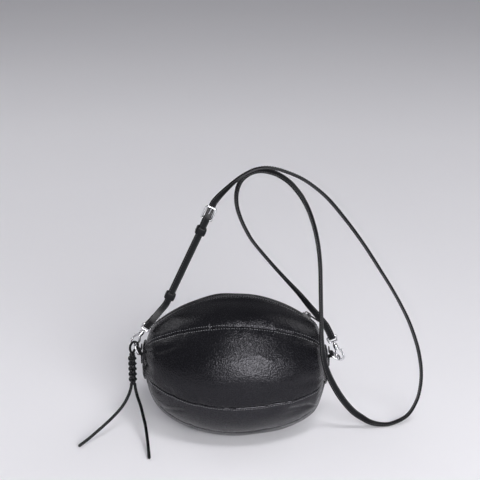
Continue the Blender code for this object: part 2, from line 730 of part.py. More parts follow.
def make_end_ring(name, side, metal):
    frame = ring_frame(side)
    path = rounded_path(((-RING_HALF_WIDTH, 0.0, RING_BAR_CORNER), (RING_HALF_WIDTH, 0.0, RING_BAR_CORNER),
                         (RING_HALF_WIDTH, RING_DEPTH, RING_BOW_CORNER),
                         (-RING_HALF_WIDTH, RING_DEPTH, RING_BOW_CORNER)), 4)
    tube(name, [frame_point(frame, *p) for p in path], RING_WIRE, metal, frame.origin, cyclic=True)


def clasp_frame(side):
    """The frame of a clasp from the bottom of its hook: axis to the strap, side to the outside."""
    lean = LEFT_CLASP_LEAN if side < 0 else RIGHT_CLASP_LEAN
    tip = LEFT_CLASP_TIP if side < 0 else RIGHT_CLASP_TIP
    axis = Vector((math.sin(lean) * math.cos(tip), -math.sin(tip), math.cos(lean) * math.cos(tip)))
    outer = Vector((side * math.cos(lean), 0.0, -side * math.sin(lean)))
    ring = ring_frame(side)
    bow = frame_point(ring, 0.0, RING_DEPTH)
    depth = LEFT_CLASP_DEPTH if side < 0 else RIGHT_CLASP_DEPTH
    origin = bow - axis * RING_IN_HOOK + outer * RING_WIRE + Y_AXIS * depth
    return Frame(origin, outer, axis, outer.cross(axis))


def shifted(frame, side, axis):
    return Frame(frame_point(frame, side, axis), frame.side, frame.axis, frame.depth)


def make_clasp(word, side, metal):
    """Hook with its barrel, sprung gate on a pin, and the swivel eye that holds the strap."""
    frame = clasp_frame(side)
    start = BARREL_START + HOOK_WIRE
    inner = HOOK_WIRE
    bend = HOOK_HALF_WIDTH * 0.9
    path = rounded_path(((-inner, start, 0.0), (-inner, BARREL_START - HOOK_WIRE, HOOK_WIRE * 2.0),
                         (-HOOK_HALF_WIDTH, HOOK_SHOULDER + HOOK_WIRE, HOOK_WIRE * 2.0),
                         (-HOOK_HALF_WIDTH, 0.0, bend), (HOOK_HALF_WIDTH, 0.0, bend),
                         (HOOK_HALF_WIDTH, NOSE_HEIGHT, 0.0)), 5, False)
    hook = as_mesh(tube("clasp_hook_" + word, [frame_point(frame, *p) for p in path], HOOK_WIRE, metal,
                        frame.origin))
    barrel = rod("clasp_barrel_" + word, frame, BARREL_RADIUS, BARREL_START, BARREL_END, metal)
    combine(hook, barrel, "UNION")
    seat = rod("clasp_seat_" + word, frame, STEM_RADIUS + GAP, BARREL_END - SEAT_DEPTH,
               BARREL_END + SEAT_DEPTH, metal, 12)
    combine(hook, seat, "DIFFERENCE")
    slot_low = BARREL_START - HOOK_WIRE
    slot_high = GATE_PIVOT_HEIGHT + GATE_TAIL + GATE_RADIUS
    slot_inner = GATE_PIVOT_SIDE - GATE_RADIUS - GAP * 2.0
    slot_outer = BARREL_RADIUS + HOOK_WIRE
    middle = shifted(frame, (slot_inner + slot_outer) / 2.0, (slot_low + slot_high) / 2.0)
    slot = box("clasp_slot_" + word, middle,
               ((slot_outer - slot_inner) / 2.0, (slot_high - slot_low) / 2.0, GATE_SLOT_HALF_WIDTH), metal)
    combine(hook, slot, "DIFFERENCE")
    pivot = shifted(frame, GATE_PIVOT_SIDE, GATE_PIVOT_HEIGHT)
    bore = rod("clasp_bore_" + word, turned_frame(pivot), GATE_PIN_RADIUS + GAP / 2.0, -BARREL_RADIUS * 1.5,
               BARREL_RADIUS * 1.5, metal, 10)
    combine(hook, bore, "DIFFERENCE")
    make_gate(word, frame, pivot, metal)
    pin_half = math.sqrt(BARREL_RADIUS ** 2 - GATE_PIVOT_SIDE ** 2)
    rod("clasp_pin_" + word, turned_frame(pivot), GATE_PIN_RADIUS, -pin_half, pin_half, metal, 10)
    make_eye(word, frame, metal)


def make_gate(word, frame, pivot, metal):
    """The lever that shuts the hook, with a thumb nub on its outer side."""
    tip = NOSE_HEIGHT + GATE_RADIUS + GAP * 2.0
    path = ((GATE_PIVOT_SIDE, GATE_PIVOT_HEIGHT + GATE_TAIL), (GATE_PIVOT_SIDE, GATE_PIVOT_HEIGHT),
            ((GATE_PIVOT_SIDE + HOOK_HALF_WIDTH) / 2.0, (GATE_PIVOT_HEIGHT + tip) / 2.0 + GATE_RADIUS),
            (HOOK_HALF_WIDTH, tip + GATE_RADIUS), (HOOK_HALF_WIDTH, tip - GATE_RADIUS))
    gate = as_mesh(tube("clasp_gate_" + word, [frame_point(frame, *p) for p in path], GATE_RADIUS, metal,
                        pivot.origin))
    middle = (GATE_PIVOT_HEIGHT + tip) / 2.0
    nub_frame = Frame(frame_point(frame, (GATE_PIVOT_SIDE + HOOK_HALF_WIDTH) / 2.0, middle), frame.axis,
                      frame.side, frame.axis.cross(frame.side))
    nub = rod("clasp_nub_" + word, nub_frame, THUMB_RADIUS, 0.0, THUMB_REACH, metal, 10)
    combine(gate, nub, "UNION")
    bore = rod("gate_bore_" + word, turned_frame(pivot), GATE_PIN_RADIUS + GAP / 2.0, -BARREL_RADIUS,
               BARREL_RADIUS, metal, 10)
    combine(gate, bore, "DIFFERENCE")


def make_eye(word, frame, metal):
    """The swivel eye: a loop for the strap on a stem that turns in the barrel."""
    loop = rounded_path(((-EYE_BOTTOM_HALF_WIDTH, EYE_BOTTOM, EYE_CORNER),
                         (EYE_BOTTOM_HALF_WIDTH, EYE_BOTTOM, EYE_CORNER),
                         (EYE_TOP_HALF_WIDTH, EYE_TOP, EYE_CORNER),
                         (-EYE_TOP_HALF_WIDTH, EYE_TOP, EYE_CORNER)), 3)
    eye = as_mesh(tube("clasp_eye_" + word, [frame_point(frame, *p) for p in loop], EYE_WIRE, metal,
                       frame.origin, cyclic=True))
    stem = rod("eye_stem_" + word, frame, STEM_RADIUS, BARREL_END - SEAT_DEPTH + GAP, EYE_BOTTOM, metal, 12)
    combine(eye, stem, "UNION")
    foot = BARREL_END + GAP
    collar = rod("eye_collar_" + word, frame, COLLAR_RADIUS, foot, foot + COLLAR_HEIGHT, metal, 12)
    combine(eye, collar, "UNION")


def stack_frame(distance):
    """The frame of the straight stretch of doubled strap, some distance above the sliding keeper."""
    axis = Vector((math.sin(STACK_LEAN), 0.0, math.cos(STACK_LEAN)))
    side = Vector((math.cos(STACK_LEAN), 0.0, -math.sin(STACK_LEAN)))
    return Frame(Vector(STACK_PLACE) + axis * distance, side, axis, side.cross(axis))


def layer_depths():
    """Depths behind the keeper's middle plane: the free tail in front, the short strap behind it."""
    half = STRAP_THICKNESS / 2.0
    return -(half + LAYER_GAP / 2.0), half + LAYER_GAP / 2.0


def heel_depth():
    return layer_depths()[1] + BUCKLE_WIRE + GAP + STRAP_THICKNESS / 2.0


def strap_point(frame, side, axis, back):
    """A place in a strap frame, with the depth counted towards the back of the bag."""
    return frame_point(frame, side, axis, math.copysign(back, back * frame.depth.y))


def folded_back(front, width, bend):
    """The strap's end after its front layer meets a bar: round the bar, then up behind that layer."""
    run = (front[-1] - front[-2]).normalized()
    back = run.cross(width).normalized()
    back *= math.copysign(1.0, back.y)
    bar = front[-1] + back * bend
    turn = [bar - back * (bend * math.cos(math.pi * i / 8.0)) + run * (bend * math.sin(math.pi * i / 8.0))
            for i in range(1, 9)]
    settled = STRAP_THICKNESS + GAP
    layer = []
    distance = 0.0
    for here, there in zip(reversed(front[1:]), reversed(front[:-1])):
        distance += (there - here).length
        if distance > FOLD_LENGTH:
            break
        normal = (here - there).cross(width).normalized()
        normal *= math.copysign(1.0, normal.y)
        share = min(distance / FOLD_SETTLE, 1.0)
        ease = share * share * (3.0 - 2.0 * share)
        layer.append(there + normal * (2.0 * bend + (settled - 2.0 * bend) * ease))
    return turn + layer


def eye_approach(clasp):
    """Places of the strap's front layer as it comes down to the eye of a clasp."""
    bend = EYE_WIRE + GAP + STRAP_THICKNESS / 2.0
    heights = [EYE_TOP + share * FOLD_SETTLE for share in EYE_APPROACH_SHARES]
    return [strap_point(clasp, 0.0, height, -bend) for height in heights], bend


def strap_section():
    half_width = STRAP_WIDTH / 2.0
    half = STRAP_THICKNESS / 2.0
    corner = STRAP_EDGE
    quarter = ((half_width, half - corner), (half_width - corner, half))
    return (*quarter, *((-w, t) for w, t in reversed(quarter)), *((-w, -t) for w, t in quarter),
            *((w, -t) for w, t in reversed(quarter)))


def flat_strap(name, centres, widths, material):
    """Carries the strap's section along its centres, with its width held to the given directions."""
    section = strap_section()
    points = []
    for index, centre in enumerate(centres):
        before = centres[max(index - 1, 0)]
        after = centres[min(index + 1, len(centres) - 1)]
        along = (after - before).normalized()
        width = widths[index]
        width = (width - along * width.dot(along)).normalized()
        normal = along.cross(width)
        points += [centre + width * w + normal * t for w, t in section]
    return add_ringed(name, points, len(section), material)


def turned_width(along, degrees):
    """Width direction of the strap: Y at no turn, square to Y and to the run at a quarter turn."""
    across = Y_AXIS.cross(along).normalized()
    angle = math.radians(degrees)
    return Y_AXIS * math.cos(angle) + across * math.sin(angle)


def route_with_widths(route):
    """Centres and width directions of a free stretch from its listed points and turns."""
    places = [Vector(p[:3]) for p in route]
    widths = []
    for index, place in enumerate(places):
        before = places[max(index - 1, 0)]
        after = places[min(index + 1, len(places) - 1)]
        widths.append(turned_width((after - before).normalized(), route[index][3]))
    return places, widths


def long_strap_path():
    """The whole long strap: tail, both keepers, the buckle's ramp, the free loop, the right fold."""
    front = layer_depths()[0]
    low = stack_frame(0.0)
    centres = [strap_point(low, 0.0, share * STACK_LENGTH, front) for share in TAIL_RUN_SHARES]
    centres.insert(0, strap_point(low, 0.0, -TAIL_END, front))
    behind = FAR_BAR_DEPTH + BUCKLE_WIRE + GAP + STRAP_THICKNESS / 2.0
    for index in range(8):
        share = index / 7.0
        ease = share * share * (3.0 - 2.0 * share)
        run = STACK_LENGTH + BUCKLE_LENGTH * (RAMP_START_SHARE + (1.0 - RAMP_START_SHARE) * share)
        centres.append(strap_point(low, 0.0, run, front + (behind - front) * ease))
    widths = [low.side] * len(centres)
    places, turns = route_with_widths(LONG_STRAP_ROUTE)
    centres += places
    widths += turns
    clasp = clasp_frame(1.0)
    approach, bend = eye_approach(clasp)
    join = smooth_route(centres[-2:] + approach, 3)[3:]
    front = centres[:-1] + join
    side = clasp.side * -1.0
    widths += [side] * (len(front) - len(widths))
    layer = folded_back(front, side, bend)
    return front + layer, widths + [side] * len(layer)


def short_strap_path():
    """The short strap: fold at the buckle's heel bar, straight stretch, bend and fold at the eye."""
    back = layer_depths()[1]
    low = stack_frame(0.0)
    heights = [STACK_LENGTH - share * FOLD_SETTLE for share in HEEL_RUN_SHARES]
    straight = [strap_point(low, 0.0, height, back) for height in (*heights, STACK_LENGTH / 3.0, 0.0)]
    heel = folded_back(straight[::-1], low.side, BUCKLE_WIRE + GAP + STRAP_THICKNESS / 2.0)
    approach, bend = eye_approach(clasp_frame(-1.0))
    free = [strap_point(low, 0.0, -TAIL_END, back)] + [Vector(p) for p in SHORT_STRAP_ROUTE] + approach
    front = straight[:-1] + smooth_route([straight[-1]] + free, 3)
    side = clasp_frame(-1.0).side * -1.0
    layer = folded_back(front, side, bend)
    centres = heel[::-1] + front + layer
    turned = len(heel) + len(straight) + 3
    widths = [low.side] * turned + [side] * (len(centres) - turned)
    return centres, widths


def make_straps(leather):
    short = flat_strap("short_strap", *short_strap_path(), leather)
    heel = stack_frame(STACK_LENGTH)
    middle = heel.origin + Y_AXIS * heel_depth()
    notch_half = BUCKLE_WIRE + GAP + STRAP_THICKNESS + PRONG_RING
    notch = box("prong_notch", Frame(middle, heel.side, heel.axis, heel.depth),
                (PRONG_NOTCH_HALF_WIDTH, notch_half, notch_half), leather)
    combine(short, notch, "DIFFERENCE")
    long = flat_strap("long_strap", *long_strap_path(), leather)
    half = (PRONG_SLOT_END - PRONG_SLOT_START) / 2.0
    place = shifted(heel, 0.0, PRONG_SLOT_START + half)
    slot = box("prong_slot", place, (PRONG_SLOT_WIDTH / 2.0, half, notch_half), leather)
    combine(long, slot, "DIFFERENCE")
    low = stack_frame(0.0)
    for index in range(STRAP_HOLE_COUNT):
        height = STACK_LENGTH - STRAP_HOLE_SPACING * (index + 1)
        hole = rod("strap_hole_%d" % (index + 1), turned_frame(shifted(low, 0.0, height)), STRAP_HOLE_RADIUS,
                   -STRAP_THICKNESS * 1.5, STRAP_THICKNESS * 1.5, leather, 10)
        combine(long, hole, "DIFFERENCE")


def make_keeper(name, distance, deepest, leather):
    """A leather band round the layers of strap."""
    frame = stack_frame(distance)
    front = layer_depths()[0] - STRAP_THICKNESS / 2.0 - GAP
    back = deepest + STRAP_THICKNESS / 2.0 + GAP
    half_width = STRAP_WIDTH / 2.0 + GAP
    flat = Frame(frame.origin, frame.side, Y_AXIS, frame.side.cross(Y_AXIS))
    wall = KEEPER_WALL
    outer = rounded_path(((-half_width - wall, front - wall, wall), (half_width + wall, front - wall, wall),
                          (half_width + wall, back + wall, wall), (-half_width - wall, back + wall, wall)), 3)
    inner = [(-half_width, front), (half_width, front), (half_width, back), (-half_width, back)]
    outline_plate(name, (outer, inner), flat, KEEPER_LENGTH / 2.0, leather)


def buckle_frame():
    """Frame of the buckle, tipped so that its far bar lies nearer the front than its heel bar."""
    heel = stack_frame(STACK_LENGTH)
    origin = heel.origin + Y_AXIS * heel_depth()
    far = heel.origin + heel.axis * BUCKLE_LENGTH + Y_AXIS * FAR_BAR_DEPTH
    axis = (far - origin).normalized()
    return Frame(origin, heel.side, axis, heel.side.cross(axis)), (far - origin).length


def make_buckle(metal):
    frame, length = buckle_frame()
    path = rounded_path(((-BUCKLE_HALF_WIDTH, 0.0, BUCKLE_WIRE), (BUCKLE_HALF_WIDTH, 0.0, BUCKLE_WIRE),
                         (BUCKLE_HALF_WIDTH, length, BUCKLE_CORNER),
                         (-BUCKLE_HALF_WIDTH, length, BUCKLE_CORNER)), 4)
    route = [frame_point(frame, *p) for p in path]
    tube("buckle_frame", route, BUCKLE_WIRE, metal, frame.origin, cyclic=True)
    ring_outer = BUCKLE_WIRE + GAP + PRONG_RING
    knuckle_frame = Frame(frame.origin, frame.axis, frame.side, frame.axis.cross(frame.side))
    prong = rod("buckle_prong", knuckle_frame, ring_outer, -PRONG_RING_HALF_WIDTH, PRONG_RING_HALF_WIDTH,
                metal, 16)
    front = frame_point(frame, 0.0, 0.0) - Y_AXIS * (ring_outer - PRONG_RADIUS)
    heel = stack_frame(STACK_LENGTH)
    rest = (heel.origin + heel.axis * (BUCKLE_LENGTH + PRONG_OVERHANG)
            + Y_AXIS * (FAR_BAR_DEPTH - BUCKLE_WIRE - GAP - PRONG_RADIUS))
    shaft = as_mesh(tube("prong_shaft", [front, (front + rest) / 2.0, rest], PRONG_RADIUS, metal,
                         shares=(1.0, 1.0, 0.8)))
    combine(prong, shaft, "UNION")
    bore = rod("prong_bore", knuckle_frame, BUCKLE_WIRE + GAP, -BUCKLE_HALF_WIDTH, BUCKLE_HALF_WIDTH,
               metal, 16)
    combine(prong, bore, "DIFFERENCE")


def make_lace(leather):
    """The loop through the left ring, the knotted stem below it and two free tails."""
    loop = smooth_route([(x, LACE_DEPTH, z) for x, z in LACE_LOOP_ROUTE], 2)
    pivot = frame_point(ring_frame(-1.0), 0.0, RING_DEPTH)
    tube("lace_loop", loop, LACE_RADIUS, leather, pivot)
    steps = KNOT_TURNS * 4
    profile = []
    for index in range(steps + 1):
        swell = 0.5 - 0.5 * math.cos(2.0 * math.pi * index / 4.0)
        profile.append((KNOT_WAIST + (KNOT_RADIUS - KNOT_WAIST) * swell, -KNOT_LENGTH * index / steps))
    points = [(0.0, 0.0, 0.0)] + [(r, 0.0, z) for r, z in profile] + [(0.0, 0.0, -KNOT_LENGTH)]
    mesh = bpy.data.meshes.new("lace_knot")
    mesh.from_pydata(points, [(i, i + 1) for i in range(len(points) - 1)], [])
    knot = add_object("lace_knot", mesh, leather, (KNOT_X, LACE_DEPTH, KNOT_TOP))
    screw = knot.modifiers.new("turned", "SCREW")
    screw.steps = 12
    screw.render_steps = 12
    screw.use_merge_vertices = True
    screw.merge_threshold = GAP / 10.0
    bottom = KNOT_TOP - KNOT_LENGTH - GAP
    for word, route, side in (("left", LEFT_TAIL_ROUTE, -1.0), ("right", RIGHT_TAIL_ROUTE, 1.0)):
        start = (KNOT_X + side * TAIL_SPREAD, LACE_DEPTH, bottom)
        tube("lace_tail_" + word, smooth_route([start, *route], 2), TAIL_RADIUS, leather)


def main():
    leather = finish_material("black_leather", (0.012, 0.012, 0.014), 0.42)
    strap_leather = finish_material("strap_leather", (0.010, 0.010, 0.011), 0.38)
    metal = finish_material("chrome", (0.78, 0.78, 0.80), 0.12, 1.0)
    cloth = finish_material("lining_cloth", (0.030, 0.030, 0.034), 0.85)
    nylon = finish_material("zip_nylon", (0.014, 0.014, 0.016), 0.35)
    black_metal = finish_material("black_metal", (0.030, 0.030, 0.032), 0.25)
    make_gores(leather)
    for word, side in (("left", -1.0), ("right", 1.0)):
        make_end_panel("end_panel_" + word, side, leather)
        make_end_tab("end_tab_" + word, side, strap_leather)
        make_end_ring("d_ring_" + word, side, metal)
        make_clasp(word, side, metal)
    make_lining(cloth)
    make_zip_tapes(cloth)
    make_teeth("zip_teeth_front", 1.0, 0.0, nylon)
    make_teeth("zip_teeth_back", -1.0, 0.5, nylon)
    make_zip_stops(black_metal)
    make_slider(black_metal)
    make_zip_pull(black_metal)
    make_straps(strap_leather)
    make_keeper("sliding_keeper", 0.0, layer_depths()[1], strap_leather)
    fold_depth = layer_depths()[1] + STRAP_THICKNESS + GAP
    make_keeper("fixed_keeper", STACK_LENGTH - FIXED_KEEPER_BELOW_BAR, fold_depth, strap_leather)
    make_buckle(metal)
    make_lace(strap_leather)


clear_scene()
PARTS = new_collection("balloon_bag")
CUTTERS = new_collection("cutters")
main()
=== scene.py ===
"""Looks of a small lantern-shaped bag of black leather gores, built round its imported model.

Metres, +Z up, the front faces -Y.  Each piece is a surface worked out with numpy on a grid of two
parameters, and lies where the solid that it stands for lies.
"""

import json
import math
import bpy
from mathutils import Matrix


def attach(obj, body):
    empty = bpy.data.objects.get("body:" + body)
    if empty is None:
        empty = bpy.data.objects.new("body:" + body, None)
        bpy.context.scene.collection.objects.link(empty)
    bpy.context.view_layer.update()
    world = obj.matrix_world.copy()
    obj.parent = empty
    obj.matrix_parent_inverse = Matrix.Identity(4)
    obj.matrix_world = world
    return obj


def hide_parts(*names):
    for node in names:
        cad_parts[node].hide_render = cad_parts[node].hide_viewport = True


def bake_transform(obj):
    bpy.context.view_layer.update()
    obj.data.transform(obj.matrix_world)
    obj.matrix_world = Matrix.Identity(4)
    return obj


bl_info = {
    "name": "Balloon bag",
    "version": (1, 0, 0),
    "blender": (4, 5, 0),
    "location": "3D View > Sidebar > Balloon bag",
    "description": "Leather gores, zip, strap, clasps and knotted lace of a small crossbody bag",
    "category": "Object",
}

from collections import namedtuple

import bpy
import numpy as np
from mathutils import Vector

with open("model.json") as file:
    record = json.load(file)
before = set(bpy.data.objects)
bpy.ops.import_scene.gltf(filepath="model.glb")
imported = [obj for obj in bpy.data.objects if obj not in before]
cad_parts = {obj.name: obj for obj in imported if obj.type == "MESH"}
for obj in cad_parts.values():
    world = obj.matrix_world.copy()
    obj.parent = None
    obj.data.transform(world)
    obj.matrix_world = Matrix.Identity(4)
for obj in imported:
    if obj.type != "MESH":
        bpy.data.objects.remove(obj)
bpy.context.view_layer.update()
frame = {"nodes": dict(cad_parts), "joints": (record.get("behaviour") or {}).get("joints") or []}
JOINTS = {joint["name"]: joint for joint in frame["joints"]}

Frame = namedtuple("Frame", "origin side axis depth")
SHARP_ANGLE = math.radians(50.0)
FINE_SPACING = 0.0004
UP = np.array((0.0, 0.0, 1.0))
BACK = np.array((0.0, 1.0, 0.0))
TURN = 2.0 * math.pi
GAP = 0.0003

# Bag body, its lining and its zip
REST_HEIGHT = 0.081
LEFT_END_RISE = 0.006
RISE_POWER = 3
BASE_SAG = 0.0055
SAG_POWER = 3
SEAMS = tuple(math.radians(degrees) for degrees in (48.8, 116.2, 153.3, 206.7, 243.8, 311.2))
ZIP_SLOT = 0.011
LINING_SLOT = 0.009
LINING_CLOTH = 0.0008
LINING_STATIONS = 60
LINING_COLUMNS = 97
TAPE = 0.0007
TAPE_SLIT = 0.0012
TAPE_REACH = 0.012
TEETH_HALF_LENGTH = 0.092
PULL_WIRE = 0.0007
PULL_LENGTH = 0.017
PULL_HALF_WIDTH = 0.00275
COIL_PITCH = 0.0015
COIL_STEPS = 10
COIL_WIRE = 0.00032
COIL_PLACE = 0.00135
COIL_REACH = 0.0011875
COIL_RISE = 0.000589
COIL_HEIGHT = -0.00115

# Leather skins: the grid of a gore, and the steps that slopes are read over
GORE_STATIONS = 340
GORE_OUTSIDE = 60
GORE_INSIDE = 14
STATION_EVENNESS = 0.75
COLUMN_EVENNESS = 0.6
GORES = ("front_top", "front", "front_lower", "base", "back_lower", "back", "back_top")
LOWER_GORES = ("front_lower", "base", "back_lower")
SLOPE_SHARE = 0.001
SKIN_STEP = 0.0002

# Relief of the leather. Waves are (wavelength, phase, height)
SEAM_WAVES = ((0.0113, 0.4, 0.5), (0.0171, 2.1, 0.6), (0.0079, 1.2, 0.35), (0.0290, 4.0, 0.7))
SLOW_WAVES = ((0.083, 0.9, 0.6), (0.057, 2.6, 0.45), (0.121, 4.4, 0.7))
CROSS_WAVES = ((0.046, 1.7, 0.6), (0.071, 3.3, 0.6), (0.025, 0.6, 0.35))
SEAM_DROP = 0.0005
SEAM_DROP_WIDTH = 0.0016
SEAM_SHIFT = 0.013
PUCKER_HEIGHT = 0.00032
PUCKER_WIDTH = 0.0075
PUCKER_SLANT = 0.25
SLOW_SLANT = 0.3
CROSS_SLANT = 0.2
DENT_HEIGHT = 0.00070
DENT_EDGE = 0.010
STITCH_ROW = 0.0023
STITCH_DIMPLE = 0.00014
DIMPLE_WIDTH = 0.0006
ZIP_EDGE_ROW = 0.0021
GATHER_HEIGHT = 0.00045
GATHER_WIDTH = 0.010
GATHER_COUNT = 26
END_TURN_IN = 0.0012
END_TURN_IN_LENGTH = 0.006
# Hollow and swell that run along the ridge
HOLLOW_PLACE = 0.0105
HOLLOW_RISE = 0.0030
HOLLOW_SWAY = 0.0012
HOLLOW_SWAY_RATE = 31.0
HOLLOW_DEPTH = 0.0025
SWELL_HEIGHT = 0.0021
SWELL_BESIDE = 0.0088
RIDGE_FOLD_WIDTH = 0.0042
RIDGE_FOLD_REACH = 0.93
BACK_FOLD_SHARE = 0.6
# Short folds: start and end as (x, distance from the zip), width and height
FOLDS = (
    ((0.020, 0.104), (0.046, 0.107), 0.0024, 0.00055),
    ((0.012, 0.150), (0.038, 0.147), 0.0030, 0.00045),
    ((0.062, 0.158), (0.098, 0.128), 0.0026, -0.0011),
    ((0.058, 0.152), (0.096, 0.121), 0.0030, 0.0009),
    ((-0.098, 0.060), (-0.070, 0.074), 0.0035, -0.0006),
    ((-0.094, 0.140), (-0.060, 0.162), 0.0032, -0.0006),
)
FOLD_FULL_SHARE = 0.3
FOLD_FADE_SHARE = 0.22

# Stitches: places and sizes along one of them, then how the seams, the strap and the tabs are sewn
STITCH_STEPS = np.array((-1.0, -0.72, 0.0, 0.72, 1.0))
STITCH_SIZES = np.array((0.45, 1.0, 1.1, 1.0, 0.45))
STITCH_SIDES = 6
STITCH_LIFT = 0.9
STITCH_BOW = 1.5
SEAM_ROWS = ((0, -1), (0, 1), (1, 1), (2, 1), (3, -1), (4, -1), (5, -1), (5, 1))  # seam, side of it
SEAM_SAMPLES = 1200
SEAM_END = 0.005
SEAM_STITCH_SHARE = 0.56
SEAM_STITCH_SINK = 0.2
STRAP_STITCH_SHARE = 0.76
STRAP_THREAD_SHARE = 0.72
STRAP_STITCH_SINK = 0.35
TAB_STITCH = 0.0017
TAB_STITCH_PITCH = 0.0022
TAB_STITCH_SINK = 0.6

# End tabs and rings
TAB_HALF_WIDTH = 0.005
TAB_LEATHER = 0.0016
TAB_ABOVE_BAR = 0.008
TAB_BELOW_BAR = 0.014
TAB_SIDES = 28
TAB_SQUARENESS = 10
TAB_LOOP_TURN = math.radians(125.0)
TAB_BENDS = (1.6875, 2.7, 2.97)  # heights where the strip bends flat, in radii of its loop
TAB_SEWN_FROM = 2.6
TAB_SEWN_END = 0.0012
TAB_SEWN_EDGE = 0.0011
RING_WIRE = 0.0012
RING_HALF_WIDTH = 0.0075
RING_DEPTH = 0.012
RING_BAR_CORNER = 0.0018
RING_BOW_CORNER = 0.0045
RING_STANDOFF = 0.0023
RING_ANGLES = {"left": math.radians(114.7), "right": math.radians(-30.0)}

# End discs
DISC_DOME = 0.002
DISC_RIM = 0.0005
DISC_RINGS = 36
DISC_SIDES = 160
DISC_MIDDLE = 0.02
DISC_GATHERS = 13.0
DISC_GATHER_HEIGHT = 0.00025
DISC_GATHER_WIDTH = 0.006

# Swivel clasps, measured from the bottom of the hook along the clasp
HOOK_WIRE = 0.0014
HOOK_HALF_WIDTH = 0.0044
HOOK_SHOULDER = 0.0070
NOSE_HEIGHT = 0.0056
BARREL_RADIUS = 0.0030
BARREL_START = 0.0152
BARREL_END = 0.0222
STEM_RADIUS = 0.0010
GATE_RADIUS = 0.00095
GATE_PIVOT_HEIGHT = 0.0172
GATE_PIVOT_SIDE = 0.0019
GATE_TAIL = 0.0011
THUMB_REACH = 0.0030
THUMB_RADIUS = 0.0010
EYE_WIRE = 0.0011
EYE_BOTTOM = 0.0260
EYE_TOP = 0.0330
EYE_TOP_HALF_WIDTH = 0.0060
EYE_BOTTOM_HALF_WIDTH = 0.0051
EYE_CORNER = 0.0016
COLLAR_RADIUS = 0.0022
COLLAR_HEIGHT = 0.0008
LIP = 0.0005
# Turned shapes: shares of the radius with lips from the barrel's end, or with shares of the thumb's reach
BARREL_LOW = ((0.55, 0.0), (0.80, 0.4), (0.94, 1.4), (0.94, 2.4), (0.86, 3.0), (0.94, 3.6), (1.0, 4.4))
BARREL_HIGH = ((1.0, 4.4), (0.94, 3.6), (0.86, 3.0), (0.94, 2.4), (0.94, 1.2), (0.78, 0.3), (0.40, 0.0))
THUMB_SHAPE = ((0.62, 0.0), (0.62, 0.55), (0.95, 0.70), (1.05, 0.82), (0.95, 0.94), (0.55, 1.0))

# Strap, keepers and buckle
STACK_LENGTH = 0.1051
LAYER_GAP = 0.0004
TAIL_END = 0.012
FOLD_LENGTH = 0.022
FOLD_SETTLE = 0.010
EYE_APPROACH_SHARES = np.array((0.95, 0.6, 0.3, 0.0))
TAIL_RUN_SHARES = (0.0, 0.25, 0.5, 0.75, 0.95)
HEEL_RUN_SHARES = (0.0, 0.25, 0.5, 0.75, 1.0, 1.6, 2.2, 4.0)
RAMP_START_SHARE = 0.04
KEEPER_WALL = 0.0018
KEEPER_LENGTH = 0.0085
FIXED_KEEPER_BELOW_BAR = 0.0150
BUCKLE_WIRE = 0.0013
BUCKLE_HALF_WIDTH = 0.0061
BUCKLE_LENGTH = 0.0165
BUCKLE_CORNER = 0.0024
FAR_BAR_DEPTH = 0.0006
PRONG_RADIUS = 0.0008
PRONG_RING = 0.0010
PRONG_RING_HALF_WIDTH = 0.0011
PRONG_OVERHANG = 0.0008
PRONG_TAPER = 0.25
STRAP_SPACING = 0.0011
SHORT_STRAP_SPACING = 0.00077
STRAP_COLUMNS = 40
STRAP_SQUARENESS = 8
STRAP_EDGE_SHARE = 0.90
CREASE_FROM_EDGE = 0.0013
CREASE_DEPTH = 0.00016
CREASE_WIDTH = 0.00030
TIP_ROUNDING = 0.0035
TIP_STITCH_SHARE = 1.2
TIP_THICKNESS = 0.55
TIP_END_SHARE = 0.01
STRAP_BLEND_LENGTH = 0.062
FOLD_STEPS = 12
RAMP_STEPS = 8
KEEPER_CORNER_SHARE = 0.8
KEEPER_SIDES = 28
KEEPER_SQUARENESS = 6
KEEPER_EDGE_SHARE = 0.93
KEEPER_GROOVE = 0.18
KEEPER_GROOVE_PLACE = 0.72
KEEPER_GROOVE_WIDTH = 0.06

# Knotted lace
LACE_RADIUS = 0.0015
LACE_DEPTH = -0.0028
KNOT_X = -0.1254
KNOT_TOP = 0.0967
KNOT_LENGTH = 0.041
TAIL_RADIUS = 0.0019
TAIL_SPREAD = 0.0021
LACE_SIDES = 14
LACE_STEPS = 8
KNOT_PITCH = 0.0139
KNOT_SAMPLES = 170
KNOT_GATHER = 14.0
KNOT_GATHERED_REACH = 0.0012
STRAND_RADIUS = 0.00185
STRAND_PLACE = 0.0025
STRAND_WEAVE = 0.0009
STRAND_SIDES = 12
CORE_RADIUS = 0.0016

